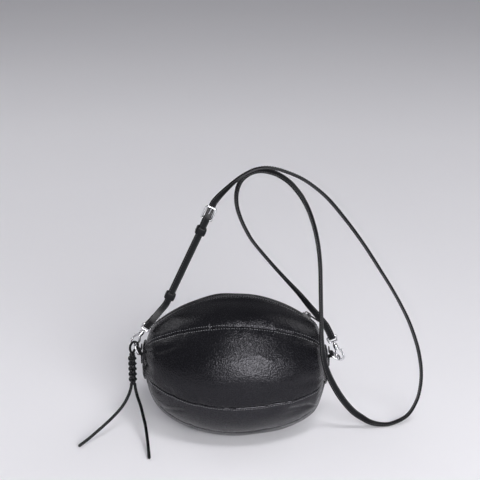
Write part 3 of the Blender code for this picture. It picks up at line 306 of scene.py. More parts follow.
# Listed routes: x, y, z and, on the strap, the turn of its width away from Y in degrees
LONG_STRAP_ROUTE = np.array((
    (-0.0245, 0.0036, 0.2868, 84), (-0.0185, 0.0028, 0.2945, 70), (-0.0110, 0.0012, 0.3028, 54),
    (-0.0020, -0.0010, 0.3120, 42), (0.0085, -0.0030, 0.3210, 34), (0.0200, -0.0045, 0.3280, 30),
    (0.0311, -0.0055, 0.3312, 30), (0.0430, -0.0060, 0.3310, 30), (0.0576, -0.0060, 0.3270, 30),
    (0.0765, -0.0060, 0.3188, 30), (0.0939, -0.0055, 0.3066, 30), (0.1105, -0.0050, 0.2910, 30),
    (0.1321, -0.0040, 0.2640, 28), (0.1521, -0.0030, 0.2360, 26), (0.1722, -0.0020, 0.2044, 24),
    (0.1870, -0.0010, 0.1802, 22), (0.1988, 0.0, 0.1590, 22), (0.2085, 0.0, 0.1395, 22),
    (0.2164, 0.0005, 0.1196, 22), (0.2235, 0.0010, 0.0965, 20), (0.2278, 0.0010, 0.0713, 14),
    (0.2277, 0.0010, 0.0500, 8), (0.2237, 0.0, 0.0305, 3), (0.2130, -0.0020, 0.0120, 0),
    (0.1950, -0.0045, 0.0026, 0), (0.1820, -0.0075, 0.0024, 4), (0.1680, -0.0120, 0.0072, 22),
    (0.1560, -0.0165, 0.0160, 42), (0.1430, -0.0225, 0.0285, 58), (0.1290, -0.0310, 0.0490, 66),
    (0.1170, -0.0385, 0.0720, 62), (0.1085, -0.0425, 0.0930, 54), (0.1038, -0.0430, 0.1125, 45),
    (0.1018, -0.0420, 0.1314, 37), (0.1011, -0.0400, 0.1497, 32), (0.1006, -0.0370, 0.1674, 30),
    (0.1000, -0.0320, 0.1906, 30), (0.0994, -0.0270, 0.2137, 30), (0.0975, -0.0215, 0.2360, 30),
    (0.0935, -0.0160, 0.2570, 30), (0.0870, -0.0100, 0.2775, 30), (0.0800, -0.0055, 0.2915, 30),
    (0.0735, -0.0010, 0.3005, 30), (0.0635, 0.0040, 0.3108, 30), (0.0512, 0.0080, 0.3185, 30),
    (0.0400, 0.0100, 0.3222, 30), (0.0290, 0.0105, 0.3234, 30), (0.0183, 0.0100, 0.3208, 30),
    (0.0090, 0.0085, 0.3145, 30), (0.0036, 0.0070, 0.3050, 30), (0.0014, 0.0060, 0.2930, 30),
    (0.0025, 0.0050, 0.2798, 30), (0.0070, 0.0040, 0.2654, 30), (0.0140, 0.0030, 0.2503, 30),
    (0.0223, 0.0025, 0.2367, 30), (0.0415, 0.0015, 0.2130, 32), (0.0594, 0.0010, 0.1923, 38),
    (0.0760, 0.0, 0.1738, 52), (0.0890, -0.0005, 0.1575, 72),
    (0.0984, -0.0004, 0.1462, 84), (0.1074, -0.0002, 0.1349, 90),
))
SHORT_STRAP_ROUTE = np.array(((-0.0905, -0.0010, 0.1510), (-0.0964, -0.0049, 0.1449)))
LEFT_TAIL_ROUTE = (
    (-0.1281, -0.0036, 0.0500), (-0.1315, -0.0100, 0.0416), (-0.1375, -0.0190, 0.0335),
    (-0.1468, -0.0285, 0.0255), (-0.1570, -0.0375, 0.0185), (-0.1670, -0.0460, 0.0125),
    (-0.1770, -0.0545, 0.0068), (-0.1860, -0.0620, 0.0026),
)
RIGHT_TAIL_ROUTE = (
    (-0.1226, -0.0042, 0.0500), (-0.1196, -0.0120, 0.0425), (-0.1150, -0.0220, 0.0345),
    (-0.1115, -0.0330, 0.0270), (-0.1080, -0.0450, 0.0200), (-0.1053, -0.0590, 0.0130),
    (-0.1028, -0.0750, 0.0070), (-0.1008, -0.0905, 0.0026),
)
LACE_LOOP_ROUTE = (
    (-0.1266, 0.0976), (-0.1277, 0.1015), (-0.1273, 0.1062), (-0.1250, 0.1103), (-0.1220, 0.1117),
    (-0.1194, 0.1105), (-0.1181, 0.1078), (-0.1187, 0.1048), (-0.1205, 0.1026), (-0.1226, 0.1006),
    (-0.1240, 0.0976),
)

# Camera and stage
CAMERA_PLACE = (0.00574, -1.35946, 0.71493)
CAMERA_DROP = math.radians(19.2085)
CAMERA_LENS = 91.59
CAMERA_SENSOR = 36.0
CAMERA_REACH = (0.05, 30.0)
STAGE_REACH = 14.0
STAGE_LINES = 41
STAGE_SINK = 0.0002
FLOOR_COLOURS = ((0.83, 0.82, 0.86), (0.87, 0.86, 0.90))
FLOOR_GLOW = 0.12
GLOW_FROM, GLOW_TO = 0.15, 1.5
GLOW_COLOUR = (0.98, 0.97, 1.0, 1.0)
WORLD_COLOUR = (0.78, 0.78, 0.84, 1.0)
WORLD_STRENGTH = 0.20
LAMP_AIM = (0.0, 0.0, 0.08)
LAMPS = (  # name, place, size, watts and spread in degrees
    ("key_lamp", (0.66, -2.30, 1.04), (2.00, 1.20), 15.0, 70.0),
    ("top_lamp", (0.42, -0.95, 1.95), (0.60, 0.40), 15.0, 180.0),
    ("left_lamp", (-2.0, 1.2, 1.8), (1.4, 1.4), 10.0, 180.0),
    ("right_lamp", (2.0, 1.2, 1.8), (1.4, 1.4), 10.0, 180.0),
)


class BagBodySizes(bpy.types.PropertyGroup):
    """Sizes and colour of the leather body"""
    radius: bpy.props.FloatProperty(
        name="Radius", description="Radius of the body in its middle", default=0.085, unit="LENGTH")
    half_length: bpy.props.FloatProperty(
        name="Half length", description="Length of the gores from the middle", default=0.109, unit="LENGTH")
    zip_arc: bpy.props.FloatProperty(
        name="Zip arc", description="Radius of the arc that the zip follows", default=0.158, unit="LENGTH")
    shoulder: bpy.props.FloatProperty(
        name="Shoulder", description="Where the arc turns down to the end", default=0.095, unit="LENGTH")
    end_radius: bpy.props.FloatProperty(
        name="End radius", description="Radius of the round ends", default=0.025, unit="LENGTH")
    lean: bpy.props.FloatProperty(
        name="Lean", description="How far the bag leans back", default=math.radians(14.0), unit="ROTATION")
    leather: bpy.props.FloatProperty(
        name="Leather", description="Thickness of the leather", default=0.0015, unit="LENGTH")
    puff: bpy.props.FloatProperty(
        name="Puff", description="Swell of a gore between its seams", default=0.0022, unit="LENGTH")
    softness: bpy.props.FloatProperty(
        name="Softness", description="Strength of folds and dents", default=1.0, min=0.0, max=2.0)
    colour: bpy.props.FloatVectorProperty(
        name="Colour", description="Colour of the body leather",
        default=(0.005, 0.005, 0.0062), size=3, subtype="COLOR")


class BagStrapSizes(bpy.types.PropertyGroup):
    """Sizes and colour of the strap and the lace"""
    width: bpy.props.FloatProperty(
        name="Width", description="Width of the strap", default=0.0082, unit="LENGTH")
    thickness: bpy.props.FloatProperty(
        name="Thickness", description="Thickness of the strap", default=0.0022, unit="LENGTH")
    stitch: bpy.props.FloatProperty(
        name="Stitch", description="Length of one stitch and its hole", default=0.0030, unit="LENGTH")
    thread: bpy.props.FloatProperty(
        name="Thread", description="Radius of the sewing thread", default=0.00038, unit="LENGTH")
    colour: bpy.props.FloatVectorProperty(
        name="Colour", description="Colour of the strap leather",
        default=(0.005, 0.005, 0.006), size=3, subtype="COLOR")
    metal: bpy.props.FloatVectorProperty(
        name="Metal", description="Colour of rings, clasps and buckle",
        default=(0.78, 0.78, 0.80), size=3, subtype="COLOR")


def body_sizes():
    """Sizes of the leather body, from the sidebar."""
    return bpy.context.scene.bag_body


def strap_sizes():
    """Sizes of the strap and the lace, from the sidebar."""
    return bpy.context.scene.bag_straps


# Arrays and meshes

def unit(vectors):
    """The same directions at length one."""
    return vectors / np.linalg.norm(vectors, axis=-1, keepdims=True)


def ease(share):
    """Smooth step from 0 to 1."""
    return share * share * (3.0 - 2.0 * share)


def gauss(distance, width):
    """Bell that is 1 at no distance and 1/e at its width."""
    return np.exp(-(distance / width) ** 2)


def quads(rows, columns, wrap_rows=False, wrap_columns=False):
    """Four-cornered faces between neighbours of a grid, with its edges joined where it wraps."""
    r = np.arange(rows if wrap_rows else rows - 1)[:, None]
    c = np.arange(columns if wrap_columns else columns - 1)[None, :]
    r2 = (r + 1) % rows
    c2 = (c + 1) % columns
    corners = (r * columns + c, r * columns + c2, r2 * columns + c2, r2 * columns + c)
    return np.stack([np.broadcast_to(k, (r.size, c.size)) for k in corners], -1).reshape(-1, 4)


def facing_out(points, faces, caps):
    """Turns all faces of a closed body round if the volume that they enclose comes out negative."""
    corners = points[faces]
    volume = np.einsum("ij,ij->", corners[:, 0], np.cross(corners[:, 1], corners[:, 2]))
    volume += np.einsum("ij,ij->", corners[:, 0], np.cross(corners[:, 2], corners[:, 3]))
    for cap in caps:
        ring = points[cap]
        fan = np.cross(ring[1:-1] - ring[0], ring[2:] - ring[0])
        volume += np.einsum("ij,j->", fan, ring[0])
    if volume < 0.0:
        return faces[:, ::-1], [cap[::-1] for cap in caps]
    return faces, caps


def closed_body(grid, wrap_rows=False, slots=None):
    """A closed body from a grid whose columns run round it; its first and last rows are capped."""
    rows, columns = grid.shape[:2]
    points = grid.reshape(-1, 3)
    faces = quads(rows, columns, wrap_rows, True)
    caps = []
    if not wrap_rows:
        caps = [np.arange(columns)[::-1], np.arange((rows - 1) * columns, rows * columns)]
    marks = np.zeros(len(faces), int) if slots is None else np.tile(slots, len(faces) // columns)
    faces, caps = facing_out(points, faces, caps)
    return points, faces, caps, marks


def new_piece(name, parts, finishes, body, replaces):
    """One object at the origin from closed parts; each part is points, quads, caps and material marks.

    It stands for the nodes that it replaces, and rides on its body when one is given.
    """
    points, faces, marks, start = [], [], [], 0
    for part_points, part_quads, caps, part_marks in parts:
        points.append(part_points)
        faces += (part_quads + start).tolist() + [(cap + start).tolist() for cap in caps]
        marks += [part_marks, np.full(len(caps), part_marks[0])]
        start += len(part_points)
    mesh = bpy.data.meshes.new(name)
    mesh.from_pydata(np.concatenate(points).tolist(), [], faces)
    for finish_name in finishes:
        mesh.materials.append(finish(finish_name))
    mesh.polygons.foreach_set("material_index", np.concatenate(marks).astype(np.int32))
    mesh.shade_smooth()
    mesh.set_sharp_from_angle(angle=SHARP_ANGLE)
    piece = bpy.data.objects.new(name, mesh)
    bpy.context.scene.collection.objects.link(piece)
    if replaces:
        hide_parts(*replaces)
    if body:
        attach(piece, body)
    return piece


# Curves and swept bodies

def smooth_curve(points, steps):
    """Smooth cubic through given points, with steps points in each span."""
    points = np.asarray(points, float)
    p = np.vstack([2.0 * points[0] - points[1], points, 2.0 * points[-1] - points[-2]])
    t = (np.arange(steps) / steps)[None, :, None]
    a, b, c, d = (p[i:len(p) - 3 + i, None, :] for i in range(4))
    spans = 0.5 * (2.0 * b + (c - a) * t + (2.0 * a - 5.0 * b + 4.0 * c - d) * t ** 2
                   + (3.0 * b - a - 3.0 * c + d) * t ** 3)
    return np.vstack([spans.reshape(-1, p.shape[1]), points[-1:]])


def lengths_along(path):
    """Distance of each point from the start of its path."""
    return np.concatenate([[0.0], np.cumsum(np.linalg.norm(np.diff(path, axis=0), axis=1))])


def read_along(places, along, table):
    """Rows of a table at some distances along the path that it belongs to."""
    return np.stack([np.interp(places, along, column) for column in table.T], -1)


def even_curve(path, spacing, *values):
    """The same path with points an even distance apart, and values carried along it."""
    along = lengths_along(path)
    places = np.linspace(0.0, along[-1], max(int(round(along[-1] / spacing)), 8) + 1)
    return [read_along(places, along, table) for table in (path, *values)]


def directions(path, closed=False):
    """Unit tangents of a path."""
    if closed:
        return unit(np.roll(path, -1, 0) - np.roll(path, 1, 0))
    return unit(np.gradient(path, axis=0))


def carried(path, side, section, closed=False):
    """Profile carried along a path: centre + side * s + normal * n for each (s, n) of the profile."""
    along = directions(path, closed)
    side = unit(side - along * np.sum(side * along, -1, keepdims=True))
    normal = np.cross(along, side)
    return path[:, None] + side[:, None] * section[..., 0:1] + normal[:, None] * section[..., 1:2]


def circle(radius, sides):
    """Points of a circle, as (side, normal) pairs."""
    turn = TURN * np.arange(sides) / sides
    return np.stack([np.cos(turn), np.sin(turn)], -1) * radius


def wire(path, radius, side, sides=20, closed=False, dome=4, shares=None):
    """Round wire: a circle carried along a path; open ends are closed by half balls."""
    side = np.broadcast_to(np.asarray(side, float), path.shape)
    sizes = np.ones(len(path)) if shares is None else shares
    if not closed:
        rise = np.linspace(0.0, 0.96, dome + 1)[1:]
        along = directions(path)
        head = path[0] - along[0] * (radius * sizes[0] * rise[::-1])[:, None]
        tail = path[-1] + along[-1] * (radius * sizes[-1] * rise)[:, None]
        fall = np.sqrt(1.0 - rise ** 2)
        path = np.vstack([head, path, tail])
        side = np.vstack([np.repeat(side[:1], dome, 0), side, np.repeat(side[-1:], dome, 0)])
        sizes = np.concatenate([sizes[0] * fall[::-1], sizes, sizes[-1] * fall])
    section = circle(radius, sides)[None] * sizes[:, None, None]
    return closed_body(carried(path, side, section, closed), wrap_rows=closed)


def turned(place, profile, sides=28):
    """Turned body: a profile of (radius, height) pairs carried round the frame's axis."""
    turn = TURN * np.arange(sides) / sides
    ring = place.side * np.cos(turn)[:, None] + place.depth * np.sin(turn)[:, None]
    profile = np.asarray(profile, float)
    grid = place.origin + ring[None] * profile[:, 0, None, None] + place.axis * profile[:, 1, None, None]
    return closed_body(grid)


def band_section(sides, squareness):
    """Section of a flat band: its half thickness is the root of 1 - s**squareness across its width.

    Gives the share across the width, that of the half thickness, and the sign of the face.
    """
    turn = TURN * (np.arange(sides) + 0.5) / sides
    s = np.cos(turn)
    face = np.sign(np.sin(turn))
    return s, np.sqrt(1.0 - np.abs(s) ** squareness) * face, face


def at(place, side, axis, depth=0.0):
    """Place in a frame, from the amounts along its three directions."""
    side, axis, depth = (np.asarray(v, float)[..., None] for v in (side, axis, depth))
    return place.origin + place.side * side + place.axis * axis + place.depth * depth


def rounded(corners, steps=8, closed=True):
    """Path with round corners from (side, axis, radius) triples."""
    count = len(corners)
    path = []
    for index, (side, axis, radius) in enumerate(corners):
        here = np.array((side, axis))
        if radius == 0.0 or (not closed and index in (0, count - 1)):
            path.append(here[None])
            continue
        before = unit(np.array(corners[index - 1][:2]) - here)
        after = unit(np.array(corners[(index + 1) % count][:2]) - here)
        half = math.acos(np.clip(before @ after, -1.0, 1.0)) / 2.0
        reach = radius / math.tan(half)
        middle = here + unit(before + after) * radius / math.sin(half)
        start = here + before * reach - middle
        end = here + after * reach - middle
        share = np.linspace(0.0, 1.0, steps + 1)[:, None]
        sweep = math.pi - 2.0 * half
        arc = (start * np.sin((1.0 - share) * sweep) + end * np.sin(share * sweep)) / math.sin(sweep)
        path.append(middle + arc)
    return np.vstack(path)


def frame_wire(place, path, radius, sides, closed=True):
    """Round wire along a flat path of (side, axis) places in a frame."""
    return wire(at(place, path[:, 0], path[:, 1]), radius, place.depth, sides, closed=closed)


def link_path(low, high, steps=8):
    """Rounded path round a link, from the (half width, height, corner radius) of its two bars."""
    (low_half, low_height, low_corner), (high_half, high_height, high_corner) = low, high
    return rounded(((-low_half, low_height, low_corner), (low_half, low_height, low_corner),
                    (high_half, high_height, high_corner), (-high_half, high_height, high_corner)), steps)


# Materials

class Nodes:
    """Short way to wire a Principled material in code."""

    def __init__(self, name, roughness, metallic=0.0):
        self.material = bpy.data.materials.new(name)
        self.material.use_nodes = True
        self.tree = self.material.node_tree
        self.shader = self.tree.nodes["Principled BSDF"]
        self.shader.inputs["Roughness"].default_value = roughness
        self.shader.inputs["Metallic"].default_value = metallic
        self.place = self.tree.nodes.new("ShaderNodeTexCoord").outputs["Object"]

    def add(self, kind, links, **values):
        """New node, with its links by socket, and values of sockets or settings."""
        node = self.tree.nodes.new("ShaderNode" + kind)
        for key, value in values.items():
            if key in node.inputs:
                node.inputs[key].default_value = value
            else:
                setattr(node, key, value)
        for socket, source in links.items():
            self.tree.links.new(source, node.inputs[socket])
        return node

    def noise(self, scale, detail=3.0, roughness=0.55):
        """Noise over the object, from 0 to 1."""
        return self.add("TexNoise", {"Vector": self.place}, Scale=scale, Detail=detail,
                        Roughness=roughness).outputs["Fac"]

    def cells(self, scale):
        """Distance from the middles of smooth, uneven cells."""
        return self.add("TexVoronoi", {"Vector": self.place}, feature="SMOOTH_F1", Scale=scale,
                        Smoothness=0.35).outputs["Distance"]

    def span(self, value, low, high, to_low, to_high):
        """A value, read from one range into another."""
        node = self.add("MapRange", {"Value": value})
        for key, number in (("From Min", low), ("From Max", high), ("To Min", to_low), ("To Max", to_high)):
            node.inputs[key].default_value = number
        return node.outputs["Result"]

    def mix(self, share, low, high):
        """Colour between two."""
        node = self.add("Mix", {"Factor": share}, data_type="RGBA")
        node.inputs["A"].default_value = (*low, 1.0)
        node.inputs["B"].default_value = (*high, 1.0)
        return node.outputs["Result"]

    def sum(self, first, second):
        """Two values added, up to 1."""
        return self.add("Math", {0: first, 1: second}, operation="ADD", use_clamp=True).outputs["Value"]

    def product(self, first, second):
        """Two values multiplied."""
        return self.add("Math", {0: first, 1: second}, operation="MULTIPLY").outputs["Value"]

    def bump(self, height, strength, distance, below=None):
        """Normal of a bumpy surface, over the bumps below it."""
        links = {"Height": height}
        if below is not None:
            links["Normal"] = below
        node = self.add("Bump", links)
        node.inputs["Strength"].default_value = strength
        node.inputs["Distance"].default_value = distance
        return node.outputs["Normal"]

    def finish(self, **sockets):
        """The material, once its shader's sockets are linked."""
        for key, source in sockets.items():
            self.tree.links.new(source, self.shader.inputs[key.replace("_", " ")])
        return self.material


def shaded(colour, share):
    """The colour made darker or lighter."""
    return tuple(channel * share for channel in colour)


def pebbled_leather(name, level, height):
    """Soft pebbled leather: uneven cells of grain over fine pores and slow changes of sheen."""
    colour = tuple(body_sizes().colour)
    m = Nodes(name, 0.4)
    m.shader.inputs["Specular IOR Level"].default_value = level
    m.shader.inputs["Specular Tint"].default_value = (0.94, 0.92, 1.0, 1.0)
    colour_out = m.mix(m.noise(38.0), shaded(colour, 0.75), shaded(colour, 1.35))
    rough = m.span(m.noise(640.0, 3.0, 0.6), 0.38, 0.62, 0.12, 0.32)
    normal = m.bump(m.cells(600.0), 0.9, 0.00036 * height)
    normal = m.bump(m.noise(1300.0, 3.0, 0.7), 0.40, 0.00016 * height, normal)
    normal = m.bump(m.noise(210.0, 3.0, 0.5), 0.10, 0.0008, normal)
    return m.finish(Base_Color=colour_out, Roughness=rough, Normal=normal)


def strap_leather():
    """Smoother calf leather with faint pores, as on the strap, keepers, tabs and lace."""
    colour = tuple(strap_sizes().colour)
    m = Nodes("smooth_strap_leather", 0.36)
    m.shader.inputs["Specular IOR Level"].default_value = 0.15
    colour_out = m.mix(m.noise(60.0), shaded(colour, 0.8), shaded(colour, 1.4))
    rough = m.span(m.noise(220.0, 4.0), 0.3, 0.7, 0.29, 0.43)
    normal = m.bump(m.cells(1500.0), 0.18, 0.0002)
    normal = m.bump(m.noise(3200.0, 2.0), 0.12, 0.0001, normal)
    return m.finish(Base_Color=colour_out, Roughness=rough, Normal=normal)


def lace_leather():
    """Round rolled lace: the strap's leather with a closer, glossier surface."""
    colour = tuple(strap_sizes().colour)
    m = Nodes("rolled_lace_leather", 0.24)
    m.shader.inputs["Specular IOR Level"].default_value = 0.20
    colour_out = m.mix(m.noise(90.0), shaded(colour, 0.8), shaded(colour, 1.3))
    rough = m.span(m.noise(300.0, 3.0), 0.3, 0.7, 0.18, 0.30)
    normal = m.bump(m.noise(2400.0, 2.0), 0.10, 0.0001)
    return m.finish(Base_Color=colour_out, Roughness=rough, Normal=normal)


def edge_paint():
    """Painted strap edge: smooth, a little glossier than the leather, slightly uneven."""
    m = Nodes("painted_edge", 0.27)
    m.shader.inputs["Specular IOR Level"].default_value = 0.22
    normal = m.bump(m.noise(420.0, 3.0), 0.15, 0.0003)
    colour_out = m.mix(m.noise(150.0), (0.006, 0.006, 0.007), (0.011, 0.011, 0.012))
    return m.finish(Base_Color=colour_out, Normal=normal)


def waxed_thread(name, low, high):
    """Waxed thread: a fine twist seen as noise across it, between the colours low and high; the seam
    thread's light grey is painted highlight on black thread.
    """
    m = Nodes(name, 0.30)
    normal = m.bump(m.noise(5200.0, 2.0), 0.4, 0.0001)
    colour_out = m.mix(m.noise(900.0), (low, low, low * 1.08), (high, high, high * 1.06))
    return m.finish(Base_Color=colour_out, Normal=normal)


def polished_metal():
    """Polished silver-coloured metal with faint hairline wear."""
    colour = tuple(strap_sizes().metal)
    m = Nodes("polished_metal", 0.12, 1.0)
    colour_out = m.mix(m.noise(140.0), shaded(colour, 0.93), shaded(colour, 1.04))
    rough = m.span(m.noise(700.0, 5.0, 0.7), 0.35, 0.75, 0.09, 0.22)
    normal = m.bump(m.noise(1900.0, 2.0), 0.05, 0.0001)
    return m.finish(Base_Color=colour_out, Roughness=rough, Normal=normal)


def black_metal():
    """Black lacquered zip metal, worn a little brighter in places."""
    m = Nodes("lacquered_metal", 0.26)
    colour_out = m.mix(m.noise(420.0, 4.0), (0.016, 0.016, 0.018), (0.040, 0.040, 0.043))
    normal = m.bump(m.noise(1800.0, 2.0), 0.08, 0.0001)
    return m.finish(Base_Color=colour_out, Normal=normal)


def zip_nylon():
    """Satin black nylon of the zip's coil."""
    m = Nodes("zip_nylon", 0.34)
    colour_out = m.mix(m.noise(300.0), (0.011, 0.011, 0.012), (0.020, 0.020, 0.022))
    normal = m.bump(m.noise(2400.0, 2.0), 0.10, 0.0001)
    return m.finish(Base_Color=colour_out, Normal=normal)


def woven(name, colour, scale):
    """Plain weave: bands of warp and weft, crossed, over uneven yarn."""
    m = Nodes(name, 0.85)
    both = m.product(*(m.add("TexWave", {"Vector": m.place}, bands_direction=way, Scale=scale,
                             Distortion=0.4).outputs["Fac"] for way in "XY"))
    normal = m.bump(both, 0.5, 0.0003)
    colour_out = m.mix(both, shaded(colour, 0.6), shaded(colour, 1.3))
    return m.finish(Base_Color=colour_out, Normal=normal)


MADE_FINISHES = {}
FINISHES = {
    "pebbled": (pebbled_leather, "pebbled_leather", 0.27, 1.0),
    "lower": (pebbled_leather, "lower_leather", 0.42, 0.35),
    "strap": (strap_leather,), "lace": (lace_leather,), "edge": (edge_paint,),
    # The seam thread's grey, 0.11 to 0.19, is painted highlight: the real thread is black, and its shine is
    # painted into its colour
    "thread": (waxed_thread, "seam_thread", 0.11, 0.19),
    "strap_thread": (waxed_thread, "strap_thread", 0.030, 0.060),
    "metal": (polished_metal,), "black_metal": (black_metal,), "nylon": (zip_nylon,),
    "tape": (woven, "zip_tape_weave", (0.016, 0.016, 0.018), 900.0),
    "lining": (woven, "lining_weave", (0.030, 0.030, 0.034), 700.0),
}


def finish(name):
    """The material of a finish, made the first time that it is asked for."""
    if name not in MADE_FINISHES:
        maker, *values = FINISHES[name]
        MADE_FINISHES[name] = maker(*values)
    return MADE_FINISHES[name]


# Shape of the bag body

def end_rise(x):
    """How far the end that x lies towards sits above the line of the ends."""
    return np.where(x < 0.0, LEFT_END_RISE, 0.0)


def centre_rise(x):
    """Rise of the section's middle: the rise of its end times a power of x's share."""
    return end_rise(x) * (np.abs(x) / body_sizes().half_length) ** RISE_POWER


def ridge_height(x):
    """Height of the zip line: one circle, then a curve with a steady bend down to the end."""
    b = body_sizes()
    reach = np.minimum(np.abs(x), b.shoulder)
    height = np.sqrt(b.zip_arc ** 2 - reach ** 2) - (b.zip_arc - b.radius)
    run = np.maximum(np.abs(x) - b.shoulder, 0.0)
    span = b.half_length - b.shoulder
    slope = b.shoulder / math.sqrt(b.zip_arc ** 2 - b.shoulder ** 2)
    drop = height - slope * span - b.end_radius - end_rise(x)
    return height - slope * run - drop * (run / span) ** 2


def section_radius(x):
    """Radius of the round section at x."""
    return ridge_height(x) - centre_rise(x)


def puff(x, angle):
    """Swell between two seams: a half sine wave, which starts without a slope beside the zip."""
    edges = np.array((0.0, *SEAMS[:3], SEAMS[3]))
    folded = np.abs((angle + math.pi) % TURN - math.pi)
    cell = np.clip(np.searchsorted(edges, folded, side="right") - 1, 0, 3)
    share = (folded - edges[cell]) / (edges[cell + 1] - edges[cell])
    share = np.where(cell == 0, share * share, share)
    b = body_sizes()
    return b.puff * np.sin(math.pi * share) * section_radius(x) / b.radius


def base_sag(x, angle):
    """Hang of the lower gores: sine of pi times share cubed along X, eased in under the lower seam."""
    folded = np.abs((angle + math.pi) % TURN - math.pi)
    share = ease(np.clip((folded - SEAMS[1]) / (math.pi - SEAMS[1]), 0.0, 1.0))
    return BASE_SAG * np.sin(math.pi * (np.abs(x) / body_sizes().half_length) ** SAG_POWER) * share


def lean_back(x, y, z):
    """Place in the scene of a place on the upright body, whose middle is the origin."""
    lean = body_sizes().lean
    return np.stack(np.broadcast_arrays(x, y * math.cos(lean) + z * math.sin(lean),
                                        REST_HEIGHT - y * math.sin(lean) + z * math.cos(lean)), -1)


def skin(x, angle, depth=0.0, share=1.0):
    """Point of the body at x, turned from the zip towards the front, some depth under the skin."""
    x, angle, depth = np.broadcast_arrays(np.asarray(x, float), angle, depth)
    step = body_sizes().half_length * SLOPE_SHARE
    inner = x - np.copysign(step, x)
    tilt = np.arctan2(section_radius(inner) - section_radius(x), step)
    swell = puff(x, angle) + base_sag(x, angle)
    radius = (section_radius(x) + swell - depth * np.cos(tilt)) * share
    place = lean_back(x - np.copysign(depth * np.sin(tilt), x), -radius * np.sin(angle),
                      radius * np.cos(angle) + centre_rise(x))
    place[..., 2] = np.maximum(place[..., 2], np.maximum(depth, 0.0))
    return place


def ripple(x, waves):
    """Sum of sine waves given as (wavelength, phase, height)."""
    return sum(height * np.sin(TURN * x / length + phase) for length, phase, height in waves)


def relief(x, angle):
    """Lift of the leather over its smooth form.

    The sum of a drop at each seam, puckers that fade away from it, slow dents, gathers round the
    ends, and the folds of the top and front gores as gauss-shaped hollows and swells.
    """
    b = body_sizes()
    radius = section_radius(x)
    turned_angle = angle % TURN
    lift = np.zeros(np.broadcast(x, angle).shape)
    for index, seam in enumerate(SEAMS):
        away = (turned_angle - seam) * radius
        slanted = x + SEAM_SHIFT * index + PUCKER_SLANT * np.abs(away)
        lift -= SEAM_DROP * gauss(away, SEAM_DROP_WIDTH)
        lift += PUCKER_HEIGHT * ripple(slanted, SEAM_WAVES) * gauss(away, PUCKER_WIDTH)
        lift -= STITCH_DIMPLE * gauss(np.abs(away) - STITCH_ROW, DIMPLE_WIDTH)
    around = np.minimum(turned_angle, TURN - turned_angle) * radius
    from_zip = around - ZIP_SLOT / 2.0
    lift -= STITCH_DIMPLE * gauss(from_zip - ZIP_EDGE_ROW, DIMPLE_WIDTH)
    open_field = 1.0 - gauss(from_zip, DENT_EDGE)
    dents = (ripple(x + SLOW_SLANT * angle * b.radius, SLOW_WAVES)
             * ripple(angle * b.radius - CROSS_SLANT * x, CROSS_WAVES))
    lift += DENT_HEIGHT * dents * open_field
    from_end = b.half_length - np.abs(x)
    lift += GATHER_HEIGHT * np.cos(GATHER_COUNT * angle) * gauss(from_end, GATHER_WIDTH) * open_field
    share = np.where(turned_angle < math.pi, 1.0, BACK_FOLD_SHARE)
    spread = np.clip(1.0 - (np.abs(x) / (b.half_length * RIDGE_FOLD_REACH)) ** 4, 0.0, 1.0)
    hollow = (HOLLOW_PLACE + HOLLOW_RISE * np.cos(math.pi * x / b.half_length)
              + HOLLOW_SWAY * np.sin(HOLLOW_SWAY_RATE * x))
    lift -= HOLLOW_DEPTH * gauss(around - hollow, RIDGE_FOLD_WIDTH) * spread * share
    lift += SWELL_HEIGHT * gauss(around - hollow - SWELL_BESIDE, RIDGE_FOLD_WIDTH) * spread * share
    for place in FOLDS:
        lift += fold(x, around, *place)
    turn_in = np.clip(1.0 - from_end / END_TURN_IN_LENGTH, 0.0, 1.0)
    return lift * b.softness - END_TURN_IN * turn_in * turn_in


def fold(x, around, start, end, width, height):
    """Swell along a straight line on the unrolled skin, fading at both of its ends."""
    run = np.subtract(end, start)
    length = math.hypot(*run)
    run = run / length
    along = ((x - start[0]) * run[0] + (around - start[1]) * run[1]) / length
    across = (around - start[1]) * run[0] - (x - start[0]) * run[1]
    past = np.maximum(np.abs(along - 0.5) - FOLD_FULL_SHARE, 0.0)
    return height * gauss(across, width) * gauss(past, FOLD_FADE_SHARE)


def outer_skin(x, angle, depth=0.0):
    """The skin with its relief."""
    return skin(x, angle, depth - relief(x, angle))


def skin_directions(x, angle):
    """Directions out of the skin and along X on it, from points a small step apart."""
    turn = SKIN_STEP / section_radius(x)
    along = outer_skin(x + SKIN_STEP, angle) - outer_skin(x - SKIN_STEP, angle)
    around = outer_skin(x, angle + turn) - outer_skin(x, angle - turn)
    return unit(np.cross(around, along)), unit(along)


def gore_stations(count):
    """Places along X, closer together at the gathered ends."""
    half = body_sizes().half_length
    share = np.linspace(-1.0, 1.0, count)
    return half * (STATION_EVENNESS * share + (1.0 - STATION_EVENNESS) * np.sin(share * math.pi / 2.0))


def gore(first, last, trims):
    """Closed leather gore: outer skin, a half round nose on each edge, and the flesh side.

    A row is one x. Its columns run round the section: the angle goes from edge to edge on the
    outside at no depth, round a half circle of half the leather's thickness, and back inside.
    """
    leather = body_sizes().leather
    nose = leather / 2.0
    x = gore_stations(GORE_STATIONS)[:, None]
    radius = section_radius(x)
    low = first + (trims[0] + nose) / radius
    high = last - (trims[1] + nose) / radius
    turn = np.linspace(-math.pi / 2.0, math.pi / 2.0, 9)[1:-1]
    even = np.linspace(0.0, 1.0, GORE_OUTSIDE + 1)
    share_out = COLUMN_EVENNESS * even + (1.0 - COLUMN_EVENNESS) * (0.5 - 0.5 * np.cos(math.pi * even))
    share_in = np.linspace(1.0, 0.0, GORE_INSIDE + 1)
    angle = np.concatenate([low + (high - low) * share_out, high + nose * np.cos(turn) / radius,
                            low + (high - low) * share_in, low - nose * np.cos(turn) / radius], 1)
    depth = np.concatenate([np.zeros(GORE_OUTSIDE + 1), nose + nose * np.sin(turn),
                            np.full(GORE_INSIDE + 1, leather), nose - nose * np.sin(turn)])
    return closed_body(outer_skin(x, angle, depth[None]))


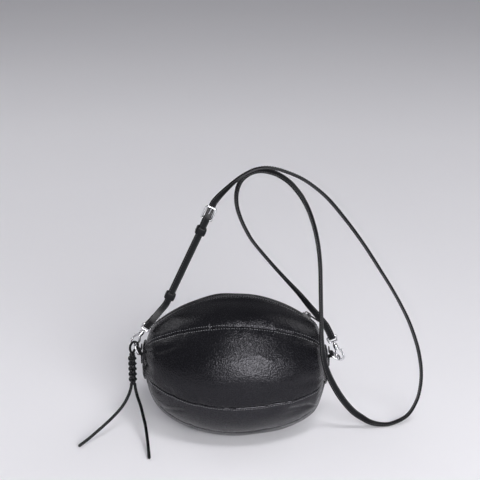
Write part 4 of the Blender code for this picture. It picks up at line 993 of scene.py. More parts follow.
def cloth(x, line, depth, thickness):
    """Closed layer of cloth under the skin, along lines of angles that run the same way at every x."""
    angle = np.concatenate([line, line[:, ::-1]], 1)
    layers = np.repeat((depth, depth + thickness), line.shape[1])
    return closed_body(skin(x, angle, layers[None]))


# Stitches

def stitches(places, normals, along, length, radius, sink):
    """Rows of thread: each stitch is a bowed capsule whose ends dip into the leather.

    Its height over the leather falls with the fourth power of the distance from its middle.
    """
    across = np.cross(normals, along)
    height = (STITCH_LIFT - sink) * radius - STITCH_BOW * radius * STITCH_STEPS ** 4
    centre = (places[:, None] + along[:, None] * (STITCH_STEPS * length / 2.0)[None, :, None]
              + normals[:, None] * height[None, :, None])
    section = circle(radius, STITCH_SIDES)[None, None] * STITCH_SIZES[None, :, None, None]
    points = (centre[:, :, None] + across[:, None, None] * section[..., 0:1]
              + normals[:, None, None] * section[..., 1:2])
    count, rows, columns = points.shape[:3]
    _, faces, ends, _ = closed_body(points[0])
    start = np.arange(count) * rows * columns
    faces = (faces[None] + start[:, None, None]).reshape(-1, 4)
    caps = [cap + first for first in start for cap in ends]
    return points.reshape(-1, 3), faces, caps, np.zeros(len(faces), int)


def seam_row(angle, offset):
    """Row of stitches, evenly spaced on the skin at a constant distance from a seam."""
    s = strap_sizes()
    limit = body_sizes().half_length - SEAM_END
    x = np.linspace(-limit, limit, SEAM_SAMPLES)
    along = lengths_along(outer_skin(x, angle + offset / section_radius(x)))
    places = np.interp(np.arange(s.stitch, along[-1] - s.stitch, s.stitch), along, x)
    turned_angle = angle + offset / section_radius(places)
    normals, run = skin_directions(places, turned_angle)
    return stitches(outer_skin(places, turned_angle), normals, run, s.stitch * SEAM_STITCH_SHARE, s.thread,
                    SEAM_STITCH_SINK)


# Frames of the metal pieces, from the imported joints

def ring_frame(word):
    """Frame of an end ring: its bar lies along Y and the ring reaches along the axis."""
    angle = RING_ANGLES[word]
    axis = np.array((math.cos(angle), 0.0, math.sin(angle)))
    return Frame(np.array(JOINTS["d_ring_%s_tilt" % word]["pos_m"]), BACK, axis, np.cross(BACK, axis))


def clasp_frame(word):
    """Frame of a clasp from the bottom of its hook: axis to the strap, side to the outside."""
    swivel = JOINTS["clasp_%s_swivel" % word]
    axis = unit(np.array(swivel["axis"]))
    depth = -unit(np.array(JOINTS["gate_%s" % word]["axis"]))
    origin = np.array(swivel["pos_m"]) - axis * EYE_BOTTOM
    return Frame(origin, np.cross(axis, depth), axis, depth)


def layer_depths():
    """Depths of the front and back layer of the doubled strap."""
    half = strap_sizes().thickness / 2.0
    return -(half + LAYER_GAP / 2.0), half + LAYER_GAP / 2.0


def heel_depth():
    """Depth of the buckle's heel bar, inside the fold of the short strap."""
    return layer_depths()[1] + BUCKLE_WIRE + GAP + strap_sizes().thickness / 2.0


def stack_frame(distance):
    """Frame of the straight stretch of doubled strap, some distance above the sliding keeper."""
    axis = unit(np.array(JOINTS["sliding_keeper_slide"]["axis"]))
    side = np.array((axis[2], 0.0, -axis[0]))
    heel = np.array(JOINTS["buckle_prong_lift"]["pos_m"]) - BACK * heel_depth()
    return Frame(heel + axis * (distance - STACK_LENGTH), side, axis, np.cross(side, axis))


def buckle_frame():
    """Frame of the buckle, from its heel bar to its far bar, and the distance between."""
    heel = stack_frame(STACK_LENGTH)
    origin = heel.origin + BACK * heel_depth()
    far = heel.origin + heel.axis * BUCKLE_LENGTH + BACK * FAR_BAR_DEPTH
    axis = unit(far - origin)
    return Frame(origin, heel.side, axis, np.cross(heel.side, axis)), float(np.linalg.norm(far - origin))


def strap_point(place, axis, back):
    """Place in a strap frame, with the depth counted towards the back of the bag."""
    return at(place, 0.0, axis, back * math.copysign(1.0, place.depth[1]))


# Straps

def towards_back(vectors):
    """The same vectors, turned round where they point to the front."""
    return vectors * np.where(vectors[..., 1:2] < 0.0, -1.0, 1.0)


def folded_back(front, width, bend):
    """Strap end after its front layer meets a bar: a half circle round it, then up behind that layer."""
    run = unit(front[-1] - front[-2])
    back = towards_back(unit(np.cross(run, width)))
    bar = front[-1] + back * bend
    turn = (math.pi * np.arange(1, FOLD_STEPS + 1) / FOLD_STEPS)[:, None]
    bow = bar - back * bend * np.cos(turn) + run * bend * np.sin(turn)
    settled = strap_sizes().thickness + GAP
    there, here = front[:-1][::-1], front[1:][::-1]
    distance = np.cumsum(np.linalg.norm(there - here, axis=1))
    keep = distance <= FOLD_LENGTH
    normal = towards_back(unit(np.cross(here - there, width)))
    share = ease(np.minimum(distance / FOLD_SETTLE, 1.0))[:, None]
    layer = there + normal * (2.0 * bend + (settled - 2.0 * bend) * share)
    return np.vstack([bow, layer[keep]])


def eye_approach(word):
    """Last places of the strap's front layer before a clasp's eye, and its bend there."""
    place = clasp_frame(word)
    bend = EYE_WIRE + GAP + strap_sizes().thickness / 2.0
    return strap_point(place, EYE_TOP + EYE_APPROACH_SHARES * FOLD_SETTLE, -bend), bend


def route_with_widths(route):
    """Centres and width directions of the free stretch from its listed points and turns."""
    places = route[:, :3]
    along = directions(places)
    across = unit(np.cross(BACK, along))
    angle = np.radians(route[:, 3:])
    return places, BACK * np.cos(angle) + across * np.sin(angle)


def long_strap_path():
    """Tail, both keepers, the ramp through the buckle, the free loop and the fold at the right eye."""
    front = layer_depths()[0]
    low = stack_frame(0.0)
    heights = np.concatenate([[-TAIL_END], np.multiply(TAIL_RUN_SHARES, STACK_LENGTH)])
    straight = strap_point(low, heights, front)
    behind = FAR_BAR_DEPTH + BUCKLE_WIRE + GAP + strap_sizes().thickness / 2.0
    share = np.linspace(0.0, 1.0, RAMP_STEPS)
    run = STACK_LENGTH + BUCKLE_LENGTH * (RAMP_START_SHARE + (1.0 - RAMP_START_SHARE) * share)
    ramp = at(low, 0.0, run, -(front + (behind - front) * ease(share)))
    places, turns = route_with_widths(LONG_STRAP_ROUTE)
    head = np.vstack([straight, ramp, places])
    approach, bend = eye_approach("right")
    join = smooth_curve(np.vstack([head[-2:], approach]), 3)[3:]
    front_layer = np.vstack([head[:-1], join])
    side = -clasp_frame("right").side
    layer = folded_back(front_layer, side, bend)
    widths = np.vstack([np.repeat(low.side[None], len(straight) + len(ramp), 0), turns])
    rest = len(front_layer) + len(layer) - len(widths)
    return np.vstack([front_layer, layer]), np.vstack([widths, np.repeat(side[None], rest, 0)])


def short_strap_path():
    """Fold at the buckle's heel bar, straight stretch, bend and fold at the left eye."""
    back = layer_depths()[1]
    low = stack_frame(0.0)
    heights = [STACK_LENGTH - share * FOLD_SETTLE for share in HEEL_RUN_SHARES]
    straight = strap_point(low, np.array([*heights, STACK_LENGTH / 3.0, 0.0]), back)
    heel = folded_back(straight[::-1], low.side, BUCKLE_WIRE + GAP + strap_sizes().thickness / 2.0)
    approach, bend = eye_approach("left")
    free = np.vstack([straight[-1:], strap_point(low, -TAIL_END, back)[None], SHORT_STRAP_ROUTE, approach])
    front = np.vstack([straight[:-1], smooth_curve(free, 3)])
    side = -clasp_frame("left").side
    layer = folded_back(front, side, bend)
    centres = np.vstack([heel[::-1], front, layer])
    turned_count = len(heel) + len(straight) + 3
    widths = np.vstack([np.repeat(low.side[None], turned_count, 0),
                        np.repeat(side[None], len(centres) - turned_count, 0)])
    return centres, widths


def strap_profile():
    """Section of the strap, creased near each edge, and which of its faces are edge paint."""
    b = strap_sizes()
    s, n, face = band_section(STRAP_COLUMNS, STRAP_SQUARENESS)
    from_crease = (1.0 - np.abs(s)) * b.width / 2.0 - CREASE_FROM_EDGE
    crease = CREASE_DEPTH * gauss(from_crease, CREASE_WIDTH) * face
    return np.stack([s * b.width / 2.0, n * b.thickness / 2.0 - crease], -1), np.abs(s) > STRAP_EDGE_SHARE


def strap_body(path, side, tips):
    """Strap section carried along its path, drawn in at a free tip as a half round end."""
    profile, edge = strap_profile()
    along = lengths_along(path)
    share = np.ones(len(path))
    for free, distance in zip(tips, (along, along[-1] - along)):
        if free:
            near = np.clip(distance / TIP_ROUNDING, 0.0, 1.0)
            share = np.minimum(share, np.sqrt(np.clip(1.0 - (1.0 - near) ** 2, TIP_END_SHARE, 1.0)))
    section = np.repeat(profile[None], len(path), 0)
    section[..., 0] *= share[:, None]
    section[..., 1] *= (TIP_THICKNESS + (1.0 - TIP_THICKNESS) * share)[:, None]
    return closed_body(carried(path, side, section), slots=edge.astype(int))


def strap_stitches(path, side):
    """Two rows of stitches in the creases of each face."""
    b = strap_sizes()
    along = lengths_along(path)
    end = TIP_ROUNDING * TIP_STITCH_SHARE
    places = np.arange(end, along[-1] - end, b.stitch)
    centre = read_along(places, along, path)
    run = unit(read_along(places, along, directions(path)))
    across = read_along(places, along, side)
    across = unit(across - run * np.sum(across * run, -1, keepdims=True))
    normal = np.cross(run, across)
    rows = []
    for face in (1.0, -1.0):
        for edge in (-1.0, 1.0):
            foot = (centre + across * edge * (b.width / 2.0 - CREASE_FROM_EDGE)
                    + normal * face * (b.thickness / 2.0 - CREASE_DEPTH))
            rows.append(as_slot(stitches(foot, normal * face, run, b.stitch * STRAP_STITCH_SHARE,
                                         b.thread * STRAP_THREAD_SHARE, STRAP_STITCH_SINK), 2))
    return rows


def as_slot(part, slot):
    """The same part with another material."""
    return part[0], part[1], part[2], np.full(len(part[1]), slot)


class BALLOON_BAG_OT_straps(bpy.types.Operator):
    """Long and short strap: a creased, edge-painted section carried along the routes, with stitches"""
    bl_idname = "balloon_bag.straps"
    bl_label = "Straps"

    def execute(self, context):
        centres, widths = long_strap_path()
        path, side = even_curve(smooth_curve(centres, 6), STRAP_SPACING, smooth_curve(widths, 6))
        top = strap_point(clasp_frame("right"), EYE_TOP, 0.0)
        split = int(np.argmin(np.linalg.norm(path - top, axis=1))) - int(STRAP_BLEND_LENGTH / STRAP_SPACING)
        run = path[:split + 1]
        strap = self.piece("long_strap_run", run, side[:split + 1], (True, False), "bag", "long_strap")
        end = self.piece("long_strap_end", path[split:], side[split:], (False, True), None, "long_strap")
        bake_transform(end)
        centres, widths = short_strap_path()
        path, side = even_curve(smooth_curve(centres, 5), SHORT_STRAP_SPACING, smooth_curve(widths, 5))
        short = self.piece("short_strap_run", path, side, (True, True), None, "short_strap")
        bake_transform(short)
        return {"FINISHED"}

    def piece(self, name, path, side, tips, body, node):
        """A length of stitched strap."""
        parts = [strap_body(path, side, tips), *strap_stitches(path, side)]
        return new_piece(name, parts, ["strap", "edge", "strap_thread"], body, (node,))


# Knotted lace

def lace_route(route, knot_side):
    """Path of a tail from the foot of the knot."""
    start = (KNOT_X + knot_side * TAIL_SPREAD, LACE_DEPTH, KNOT_TOP - KNOT_LENGTH - GAP)
    return even_curve(smooth_curve((start, *route), LACE_STEPS), TAIL_RADIUS / 2.0)[0]


class BALLOON_BAG_OT_lace(bpy.types.Operator):
    """Lace: a loop through the left ring, a woven knot of four strands and two tails on the floor"""
    bl_idname = "balloon_bag.lace"
    bl_label = "Knotted lace"

    def execute(self, context):
        route = smooth_curve([(x, LACE_DEPTH, z) for x, z in LACE_LOOP_ROUTE], LACE_STEPS)
        loop = new_piece("lace_ring_loop", [wire(route, LACE_RADIUS, BACK, LACE_SIDES)], ["lace"], None,
                         ("lace_loop",))
        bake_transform(loop)
        knot = self.knot()
        for word, route, side in (("left", LEFT_TAIL_ROUTE, -1.0), ("right", RIGHT_TAIL_ROUTE, 1.0)):
            path = lace_route(route, side)
            rope = wire(path, TAIL_RADIUS, UP, LACE_SIDES, dome=3)
            tail = new_piece("lace_end_" + word, [rope], ["lace"], "bag",
                             ("lace_tail_" + word,))
        return {"FINISHED"}

    def knot(self):
        """Four strands round a core, two winding each way.

        The angle is a full turn for each pitch of height.  The distance from the middle swells by the
        cosine of twice that angle, so each strand goes over and under the others.
        """
        drop = np.linspace(0.0, KNOT_LENGTH, KNOT_SAMPLES)
        middle = np.array((KNOT_X, LACE_DEPTH, KNOT_TOP))
        parts = [wire(middle - UP * drop[:, None], CORE_RADIUS, BACK, STRAND_SIDES)]
        closing = np.minimum(drop, KNOT_LENGTH - drop) / KNOT_LENGTH
        gather = ease(np.clip(closing * KNOT_GATHER, 0.0, 1.0))
        for way in (1.0, -1.0):
            reach = STRAND_PLACE + way * STRAND_WEAVE * np.cos(2.0 * TURN * drop / KNOT_PITCH)
            reach = KNOT_GATHERED_REACH + (reach - KNOT_GATHERED_REACH) * gather
            for start in (0.0, math.pi):
                turn = way * TURN * drop / KNOT_PITCH + start
                path = middle + np.stack([np.cos(turn) * reach, np.sin(turn) * reach, -drop], -1)
                parts.append(wire(path, STRAND_RADIUS, UP, STRAND_SIDES, dome=2))
        return new_piece("lace_sennit", parts, ["lace"], "bag", ("lace_knot",))


# Leather body

class BALLOON_BAG_OT_gores(bpy.types.Operator):
    """Seven leather gores with their folds, the lining, and the stitches along the seams"""
    bl_idname = "balloon_bag.gores"
    bl_label = "Gores and lining"

    def execute(self, context):
        edges = (0.0, *SEAMS, TURN)
        trims = (ZIP_SLOT / 2.0, *(GAP / 2.0 for _ in SEAMS), ZIP_SLOT / 2.0)
        for index, name in enumerate(GORES):
            panel = gore(edges[index], edges[index + 1], trims[index:index + 2])
            leather = "lower" if name in LOWER_GORES else "pebbled"
            new_piece(name + "_gore", [panel], [leather], "bag", (name + "_panel",))
        self.lining()
        self.seam_stitches()
        return {"FINISHED"}

    def lining(self):
        """Thin cloth bag inside the gores: the skin at a constant depth, with its edges at the zip."""
        b = body_sizes()
        depth = b.leather + 2.0 * GAP + TAPE + 2.0 * GAP
        x = np.linspace(-b.half_length, b.half_length, LINING_STATIONS)[1:-1, None]
        gap = LINING_SLOT / 2.0 / section_radius(x)
        line = gap + (TURN - 2.0 * gap) * np.linspace(0.0, 1.0, LINING_COLUMNS)[None]
        new_piece("cloth_lining", [cloth(x, line, depth, LINING_CLOTH)], ["lining"], "bag",
                  ("lining",))

    def seam_stitches(self):
        """Rows on both sides of the upper seams, under the lower ones, and beside the zip."""
        beside = ZIP_SLOT / 2.0 + ZIP_EDGE_ROW
        places = [(SEAMS[seam], side * STITCH_ROW) for seam, side in SEAM_ROWS]
        rows = [seam_row(*place) for place in (*places, (0.0, beside), (TURN, -beside))]
        new_piece("seam_stitches_front", rows[:5], ["thread"], "bag", ())
        new_piece("seam_stitches_back", rows[5:], ["thread"], "bag", ())


def disc_dome(share):
    """Height of an end disc over its inner face: its rim, and the root of 1 - share**4 above that."""
    middle = DISC_DOME + body_sizes().leather
    return DISC_RIM + (middle - DISC_RIM) * np.sqrt(1.0 - np.minimum(share, 1.0) ** 4)


class BALLOON_BAG_OT_ends(bpy.types.Operator):
    """Round domed ends, and the tabs that hold the rings"""
    bl_idname = "balloon_bag.ends"
    bl_label = "Ends and tabs"

    def execute(self, context):
        for word, side in (("left", -1.0), ("right", 1.0)):
            self.end(word, side)
            self.tab(word, side)
        return {"FINISHED"}

    def end(self, word, side):
        """Domed disc over a flat inner face, with shallow gathers round its rim."""
        b = body_sizes()
        share = np.sin(np.linspace(DISC_MIDDLE, 1.0, DISC_RINGS) * math.pi / 2.0)
        share = np.concatenate([share, share[::-1]])[:, None]
        outside = np.repeat((1.0, 0.0), DISC_RINGS)[:, None]
        turn = (TURN * np.arange(DISC_SIDES) / DISC_SIDES)[None]
        gathers = (DISC_GATHER_HEIGHT * np.cos(turn * DISC_GATHERS)
                   * gauss((1.0 - share) * b.end_radius, DISC_GATHER_WIDTH))
        place = skin(side * b.half_length, turn, 0.0, share * (1.0 - END_TURN_IN / b.end_radius))
        place[..., 0] = side * (b.half_length + GAP + (disc_dome(share) + gathers) * outside)
        new_piece("end_disc_" + word, [closed_body(place)], ["pebbled"], "bag", ("end_panel_" + word,))

    def tab(self, word, side):
        """Strip sewn above and below, with a loop round the ring's bar between."""
        bar = ring_frame(word).origin
        half = TAB_LEATHER / 2.0
        flat = -(RING_STANDOFF + half)
        loop = RING_WIRE + GAP + half
        turn = np.linspace(-TAB_LOOP_TURN, TAB_LOOP_TURN, 25)
        bow = np.stack([loop * np.cos(turn), loop * np.sin(turn)], -1)
        close, over, under = (loop * bend for bend in TAB_BENDS)
        route = np.vstack([[(flat, -TAB_BELOW_BAR), (flat, -under), (flat, -close)], bow,
                           [(flat, close), (flat, over), (flat, TAB_ABOVE_BAR)]])
        path = bar + np.stack([side * route[:, 0], np.zeros(len(route)), route[:, 1]], -1)
        path = even_curve(path, FINE_SPACING)[0]
        s, n, _ = band_section(TAB_SIDES, TAB_SQUARENESS)
        section = np.stack([s * TAB_HALF_WIDTH, n * half], -1)
        strip = closed_body(carried(path, np.broadcast_to(BACK, path.shape), section[None]))
        below = np.arange(-TAB_BELOW_BAR + TAB_SEWN_END, -TAB_SEWN_FROM * loop, TAB_STITCH_PITCH)
        above = np.arange(TAB_SEWN_FROM * loop, TAB_ABOVE_BAR, TAB_STITCH_PITCH)
        beside = TAB_HALF_WIDTH - TAB_SEWN_EDGE
        y, z = np.meshgrid((-beside, beside), np.concatenate([below, above]))
        feet = bar + np.stack([np.full(z.size, side * (flat + half)), y.ravel(), z.ravel()], -1)
        out = np.broadcast_to((side, 0.0, 0.0), feet.shape)
        sewn = stitches(feet, out, np.broadcast_to(UP, feet.shape), TAB_STITCH,
                        strap_sizes().thread * STRAP_THREAD_SHARE, TAB_STITCH_SINK)
        new_piece("ring_tab_" + word, [strip, as_slot(sewn, 1)], ["strap", "strap_thread"], "bag",
                  ("end_tab_" + word,))


# Zip

def zip_point(angle, height, across):
    """Place on the zip's circle: turned by the angle, some height out of it, across to the front."""
    b = body_sizes()
    centre = b.radius - b.zip_arc
    radius = b.zip_arc + height
    return lean_back(radius * np.sin(angle), -across, centre + radius * np.cos(angle))


class BALLOON_BAG_OT_zip(bpy.types.Operator):
    """Zip: two tapes under the top gores, two nylon coils, and the wire pull"""
    bl_idname = "balloon_bag.zip"
    bl_label = "Zip"

    def execute(self, context):
        x = gore_stations(200)[2:-2, None]
        across = TAPE_SLIT / 2.0 + (TAPE_REACH - TAPE_SLIT / 2.0) * np.linspace(0.0, 1.0, 9)[None]
        for word, side in (("front", 1.0), ("back", -1.0)):
            tape = cloth(x, side * across / section_radius(x), body_sizes().leather + 2.0 * GAP, TAPE)
            new_piece("zip_band_" + word, [tape], ["tape"], "bag", ("zip_tape_" + word,))
            self.coil(word, side)
        for name in ("zip_slider", "zip_stop_left", "zip_stop_right"):
            materials = frame["nodes"][name].data.materials
            materials.clear()
            materials.append(finish("black_metal"))
        self.pull()
        return {"FINISHED"}

    def coil(self, word, side):
        """Coil of nylon wire: height and reach go round a flat circle while the angle runs on."""
        b = body_sizes()
        half = math.asin(TEETH_HALF_LENGTH / b.zip_arc)
        count = int(2.0 * half * b.zip_arc / COIL_PITCH)
        t = np.linspace(0.0, count, count * COIL_STEPS + 1)
        angle = -half + 2.0 * half * t / count
        phase = TURN * t + (0.0 if side > 0 else math.pi)
        path = zip_point(angle, COIL_HEIGHT + COIL_RISE * np.sin(phase),
                         side * (COIL_PLACE + COIL_REACH * np.cos(phase)))
        run = unit(zip_point(angle + SLOPE_SHARE, 0.0, 0.0) - zip_point(angle - SLOPE_SHARE, 0.0, 0.0))
        new_piece("zip_coil_" + word, [wire(path, COIL_WIRE, run, 6, dome=1)], ["nylon"], "bag",
                  ("zip_teeth_" + word,))

    def pull(self):
        """Wire link that lies along the zip from its pivot, towards the middle of the bag's far side."""
        pivot = np.array(JOINTS["zip_pull_swing"]["pos_m"])
        along = np.array(JOINTS["zip_pull_swing"]["axis"])
        middle = np.array(JOINTS["slider_travel"]["pos_m"])
        out = unit(pivot - middle)
        run = np.cross(along, out)
        run = run * math.copysign(1.0, run[0])
        place = Frame(pivot, run, np.cross(out, run), out)
        corner = PULL_WIRE * 2.0
        bend = PULL_HALF_WIDTH * 0.9
        path = rounded(((0.0, -PULL_HALF_WIDTH, corner), (PULL_LENGTH, -PULL_HALF_WIDTH, bend),
                        (PULL_LENGTH, PULL_HALF_WIDTH, bend), (0.0, PULL_HALF_WIDTH, corner)), 10)
        new_piece("wire_pull", [frame_wire(place, path, PULL_WIRE, 14)], ["black_metal"], "pull",
                  ("zip_pull",))


# Rings, clasps, buckle and keepers

class BALLOON_BAG_OT_clasps(bpy.types.Operator):
    """End rings and swivel clasps: wires carried along rounded paths, and turned barrels"""
    bl_idname = "balloon_bag.clasps"
    bl_label = "Rings and clasps"

    def execute(self, context):
        for word in ("left", "right"):
            self.ring(word)
            self.hook(word)
            self.gate(word)
            self.eye(word)
        return {"FINISHED"}

    def ring(self, word):
        """D ring: a flat bar in the tab and a rounder bow."""
        path = link_path((RING_HALF_WIDTH, 0.0, RING_BAR_CORNER),
                         (RING_HALF_WIDTH, RING_DEPTH, RING_BOW_CORNER), 12)
        new_piece("ring_" + word, [frame_wire(ring_frame(word), path, RING_WIRE, 24)], ["metal"],
                  "ring_" + word, ("d_ring_" + word,))

    def hook(self, word):
        """Hook of bent wire under a turned barrel, which has a groove and a lip near each end."""
        place = clasp_frame(word)
        corner = HOOK_WIRE * 2.0
        bend = HOOK_HALF_WIDTH * 0.9
        path = rounded(((-HOOK_WIRE, BARREL_START + HOOK_WIRE, 0.0),
                        (-HOOK_WIRE, BARREL_START - HOOK_WIRE, corner),
                        (-HOOK_HALF_WIDTH, HOOK_SHOULDER + HOOK_WIRE, corner),
                        (-HOOK_HALF_WIDTH, 0.0, bend),
                        (HOOK_HALF_WIDTH, 0.0, bend),
                        (HOOK_HALF_WIDTH, NOSE_HEIGHT, 0.0)), 12, False)
        route = even_curve(at(place, path[:, 0], path[:, 1]), FINE_SPACING)[0]
        profile = [(BARREL_RADIUS * share, BARREL_START + LIP * lips) for share, lips in BARREL_LOW]
        profile += [(BARREL_RADIUS * share, BARREL_END - LIP * lips) for share, lips in BARREL_HIGH]
        arm = wire(route, HOOK_WIRE, place.depth, 24)
        new_piece("hook_" + word, [arm, turned(place, profile, 32)], ["metal"],
                  "clasp_" + word, ("clasp_hook_" + word, "clasp_pin_" + word))

    def gate(self, word):
        """Sprung lever from its pivot to the hook's nose, with a turned nub for the thumb."""
        place = clasp_frame(word)
        tip = NOSE_HEIGHT + GATE_RADIUS + GAP * 2.0
        corner = GATE_RADIUS * 2.0
        middle_side = (GATE_PIVOT_SIDE + HOOK_HALF_WIDTH) / 2.0
        middle_height = (GATE_PIVOT_HEIGHT + tip) / 2.0
        path = rounded(((GATE_PIVOT_SIDE, GATE_PIVOT_HEIGHT + GATE_TAIL, 0.0),
                        (GATE_PIVOT_SIDE, GATE_PIVOT_HEIGHT, corner / 4),
                        (middle_side, middle_height + GATE_RADIUS, corner),
                        (HOOK_HALF_WIDTH, tip + GATE_RADIUS, corner / 4),
                        (HOOK_HALF_WIDTH, tip - GATE_RADIUS, 0.0)), 8, False)
        nub_place = Frame(at(place, middle_side, middle_height), place.axis, place.side, place.depth)
        profile = [(THUMB_RADIUS * share, THUMB_REACH * reach) for share, reach in THUMB_SHAPE]
        lever = frame_wire(place, path, GATE_RADIUS, 16, False)
        new_piece("gate_lever_" + word, [lever, turned(nub_place, profile, 18)], ["metal"],
                  "gate_" + word, ("clasp_gate_" + word,))

    def eye(self, word):
        """Wire loop for the strap on a turned stem, whose collar sits on the barrel."""
        place = clasp_frame(word)
        path = link_path((EYE_BOTTOM_HALF_WIDTH, EYE_BOTTOM, EYE_CORNER),
                         (EYE_TOP_HALF_WIDTH, EYE_TOP, EYE_CORNER))
        foot = BARREL_END - GAP
        top = foot + COLLAR_HEIGHT + GAP
        profile = ((STEM_RADIUS, foot), (STEM_RADIUS, foot + GAP * 2.0),
                   (COLLAR_RADIUS * 0.9, foot + GAP * 2.2), (COLLAR_RADIUS, foot + GAP * 3.0),
                   (COLLAR_RADIUS, top), (COLLAR_RADIUS * 0.8, top + GAP),
                   (STEM_RADIUS * 1.15, EYE_BOTTOM - EYE_WIRE), (STEM_RADIUS * 1.5, EYE_BOTTOM),
                   (STEM_RADIUS * 0.6, EYE_BOTTOM + EYE_WIRE * 0.5))
        new_piece("swivel_eye_" + word, [frame_wire(place, path, EYE_WIRE, 18), turned(place, profile, 24)],
                  ["metal"], "ring_" + word, ("clasp_eye_" + word,))


class BALLOON_BAG_OT_buckle(bpy.types.Operator):
    """Buckle frame and prong, and the two leather keepers"""
    bl_idname = "balloon_bag.buckle"
    bl_label = "Buckle and keepers"

    def execute(self, context):
        place, length = buckle_frame()
        path = link_path((BUCKLE_HALF_WIDTH, 0.0, BUCKLE_WIRE),
                         (BUCKLE_HALF_WIDTH, length, BUCKLE_CORNER), 10)
        new_piece("buckle", [frame_wire(place, path, BUCKLE_WIRE, 22)], ["metal"],
                  "bag", ("buckle_frame",))
        self.prong(place)
        layer = layer_depths()[1]
        third = layer + strap_sizes().thickness + GAP
        self.keeper("keeper_loose", 0.0, layer, "sliding_keeper", "loose_keeper")
        self.keeper("keeper_fixed", STACK_LENGTH - FIXED_KEEPER_BELOW_BAR, third, "fixed_keeper", "bag")
        return {"FINISHED"}

    def prong(self, place):
        """Knuckle round the heel bar as a turned ring, and a shaft that rests on the far bar."""
        inner = BUCKLE_WIRE + GAP
        outer = inner + PRONG_RING
        turn = TURN * np.arange(16) / 16.0
        across = (inner + outer) / 2.0 + PRONG_RING / 2.0 * np.cos(turn)
        spin = TURN * np.arange(40) / 40.0
        ring = place.axis * np.cos(spin)[:, None] + np.cross(place.axis, place.side) * np.sin(spin)[:, None]
        knuckle = (place.origin + ring[:, None] * across[None, :, None]
                   + place.side * (PRONG_RING_HALF_WIDTH * np.sin(turn))[None, :, None])
        heel = stack_frame(STACK_LENGTH)
        front = place.origin - BACK * (outer - PRONG_RADIUS)
        rest = (heel.origin + heel.axis * (BUCKLE_LENGTH + PRONG_OVERHANG)
                + BACK * (FAR_BAR_DEPTH - BUCKLE_WIRE - GAP - PRONG_RADIUS))
        share = np.linspace(0.0, 1.0, 24)
        path = front + (rest - front) * share[:, None]
        shaft = wire(path, PRONG_RADIUS, place.side, 14, shares=1.0 - PRONG_TAPER * share)
        new_piece("prong_wire", [closed_body(knuckle, wrap_rows=True), shaft], ["metal"], "prong",
                  ("buckle_prong",))

    def keeper(self, name, distance, deepest, node, body):
        """Leather band: a flat section with grooved, round edges, carried round a rounded rectangle."""
        strap = strap_sizes()
        place = stack_frame(distance)
        half_wall = KEEPER_WALL / 2.0
        front = layer_depths()[0] - strap.thickness / 2.0 - GAP - half_wall
        back = deepest + strap.thickness / 2.0 + GAP + half_wall
        wide = strap.width / 2.0 + GAP + half_wall
        corner = KEEPER_WALL * KEEPER_CORNER_SHARE
        path = link_path((wide, front, corner), (wide, back, corner))
        path = np.vstack([path, path[:1]])
        flat = Frame(place.origin, place.side, BACK, np.cross(place.side, BACK))
        points = even_curve(at(flat, path[:, 0], path[:, 1]), FINE_SPACING)[0][:-1]
        s, n, _ = band_section(KEEPER_SIDES, KEEPER_SQUARENESS)
        n = n * (1.0 - KEEPER_GROOVE * gauss(np.abs(s) - KEEPER_GROOVE_PLACE, KEEPER_GROOVE_WIDTH))
        section = np.stack([s * KEEPER_LENGTH / 2.0, n * half_wall], -1)
        edge = (np.abs(s) > KEEPER_EDGE_SHARE).astype(int)
        side = np.broadcast_to(flat.depth, points.shape)
        band = closed_body(carried(points, side, section[None], closed=True), wrap_rows=True, slots=edge)
        new_piece(name, [band], ["strap", "edge"], body, (node,))


# Stage

def soft_lamp(name, place, size, power, spread):
    """Soft box aimed at the bag; a spread under 180 degrees is that of a box with a grid on it."""
    light = bpy.data.lights.new(name, "AREA")
    light.spread = math.radians(spread)
    light.shape = "RECTANGLE"
    light.size, light.size_y = size
    light.energy = power
    lamp = bpy.data.objects.new(name, light)
    lamp.location = place
    lamp.rotation_euler = (Vector(LAMP_AIM) - Vector(place)).to_track_quat("-Z", "Y").to_euler()
    bpy.context.scene.collection.objects.link(lamp)


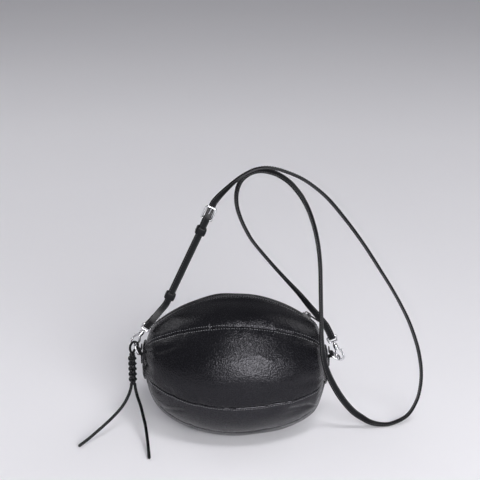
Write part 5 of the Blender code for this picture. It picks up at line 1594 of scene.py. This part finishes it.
class BALLOON_BAG_OT_stage(bpy.types.Operator):
    """Pale level floor, soft lamps and the camera"""
    bl_idname = "balloon_bag.stage"
    bl_label = "Stage and camera"

    def execute(self, context):
        self.floor()
        for lamp in LAMPS:
            soft_lamp(*lamp)
        world = bpy.data.worlds.new("studio")
        world.use_nodes = True
        background = world.node_tree.nodes["Background"]
        background.inputs["Color"].default_value = WORLD_COLOUR
        background.inputs["Strength"].default_value = WORLD_STRENGTH
        context.scene.world = world
        context.scene.view_settings.view_transform = "Standard"
        camera = bpy.data.cameras.new("photo_camera")
        camera.sensor_width = CAMERA_SENSOR
        camera.lens = CAMERA_LENS
        camera.clip_start, camera.clip_end = CAMERA_REACH
        seat = bpy.data.objects.new("photo_camera", camera)
        seat.location = CAMERA_PLACE
        seat.rotation_euler = (math.pi / 2.0 - CAMERA_DROP, 0.0, 0.0)
        context.scene.collection.objects.link(seat)
        context.scene.camera = seat
        return {"FINISHED"}

    def floor(self):
        """Wide level floor: pale, with a faint glow of its own where the lamps no longer reach it.

        Only rays that show the background, straight or mirrored, see the glow, so it lights nothing.
        """
        side = np.linspace(-STAGE_REACH, STAGE_REACH, STAGE_LINES)
        x, y = np.meshgrid(side, side)
        grid = np.stack([x, y, np.full_like(x, -STAGE_SINK)], -1)
        mesh = bpy.data.meshes.new("floor")
        mesh.from_pydata(grid.reshape(-1, 3).tolist(), [], quads(STAGE_LINES, STAGE_LINES).tolist())
        m = Nodes("pale_floor", 0.8)
        colour = m.mix(m.noise(1.2, 2.0), *FLOOR_COLOURS)
        distance = m.add("VectorMath", {0: m.place}, operation="LENGTH").outputs["Value"]
        glow = m.span(distance, GLOW_FROM, GLOW_TO, 0.0, FLOOR_GLOW)
        ray = m.add("LightPath", {})
        seen = m.sum(m.sum(ray.outputs["Is Camera Ray"], ray.outputs["Is Glossy Ray"]),
                     ray.outputs["Is Transmission Ray"])
        m.shader.inputs["Emission Color"].default_value = GLOW_COLOUR
        mesh.materials.append(m.finish(Base_Color=colour, Emission_Strength=m.product(glow, seen)))
        floor = bpy.data.objects.new("floor", mesh)
        bpy.context.scene.collection.objects.link(floor)


class BALLOON_BAG_PT_sidebar(bpy.types.Panel):
    """Lists the pieces of the bag and their sizes"""
    bl_label = "Balloon bag"
    bl_idname = "BALLOON_BAG_PT_sidebar"
    bl_space_type = "VIEW_3D"
    bl_region_type = "UI"
    bl_category = "Balloon bag"

    def draw(self, context):
        for group in (context.scene.bag_body, context.scene.bag_straps):
            box = self.layout.box()
            for name in group.bl_rna.properties.keys():
                if name not in ("rna_type", "name"):
                    box.prop(group, name)
        for step in STEPS:
            self.layout.operator(step.bl_idname)


STEPS = (BALLOON_BAG_OT_stage, BALLOON_BAG_OT_straps, BALLOON_BAG_OT_lace, BALLOON_BAG_OT_gores,
         BALLOON_BAG_OT_ends, BALLOON_BAG_OT_zip, BALLOON_BAG_OT_clasps, BALLOON_BAG_OT_buckle)
CLASSES = (BagBodySizes, BagStrapSizes, *STEPS, BALLOON_BAG_PT_sidebar)


def register():
    for cls in CLASSES:
        bpy.utils.register_class(cls)
    bpy.types.Scene.bag_body = bpy.props.PointerProperty(type=BagBodySizes)
    bpy.types.Scene.bag_straps = bpy.props.PointerProperty(type=BagStrapSizes)


def unregister():
    del bpy.types.Scene.bag_straps
    del bpy.types.Scene.bag_body
    for cls in reversed(CLASSES):
        bpy.utils.unregister_class(cls)


def main():
    register()
    bpy.ops.balloon_bag.stage()
    bpy.ops.balloon_bag.straps()
    bpy.ops.balloon_bag.lace()
    bpy.ops.balloon_bag.gores()
    bpy.ops.balloon_bag.ends()
    bpy.ops.balloon_bag.zip()
    bpy.ops.balloon_bag.clasps()
    bpy.ops.balloon_bag.buckle()


if __name__ == "__main__":
    main()
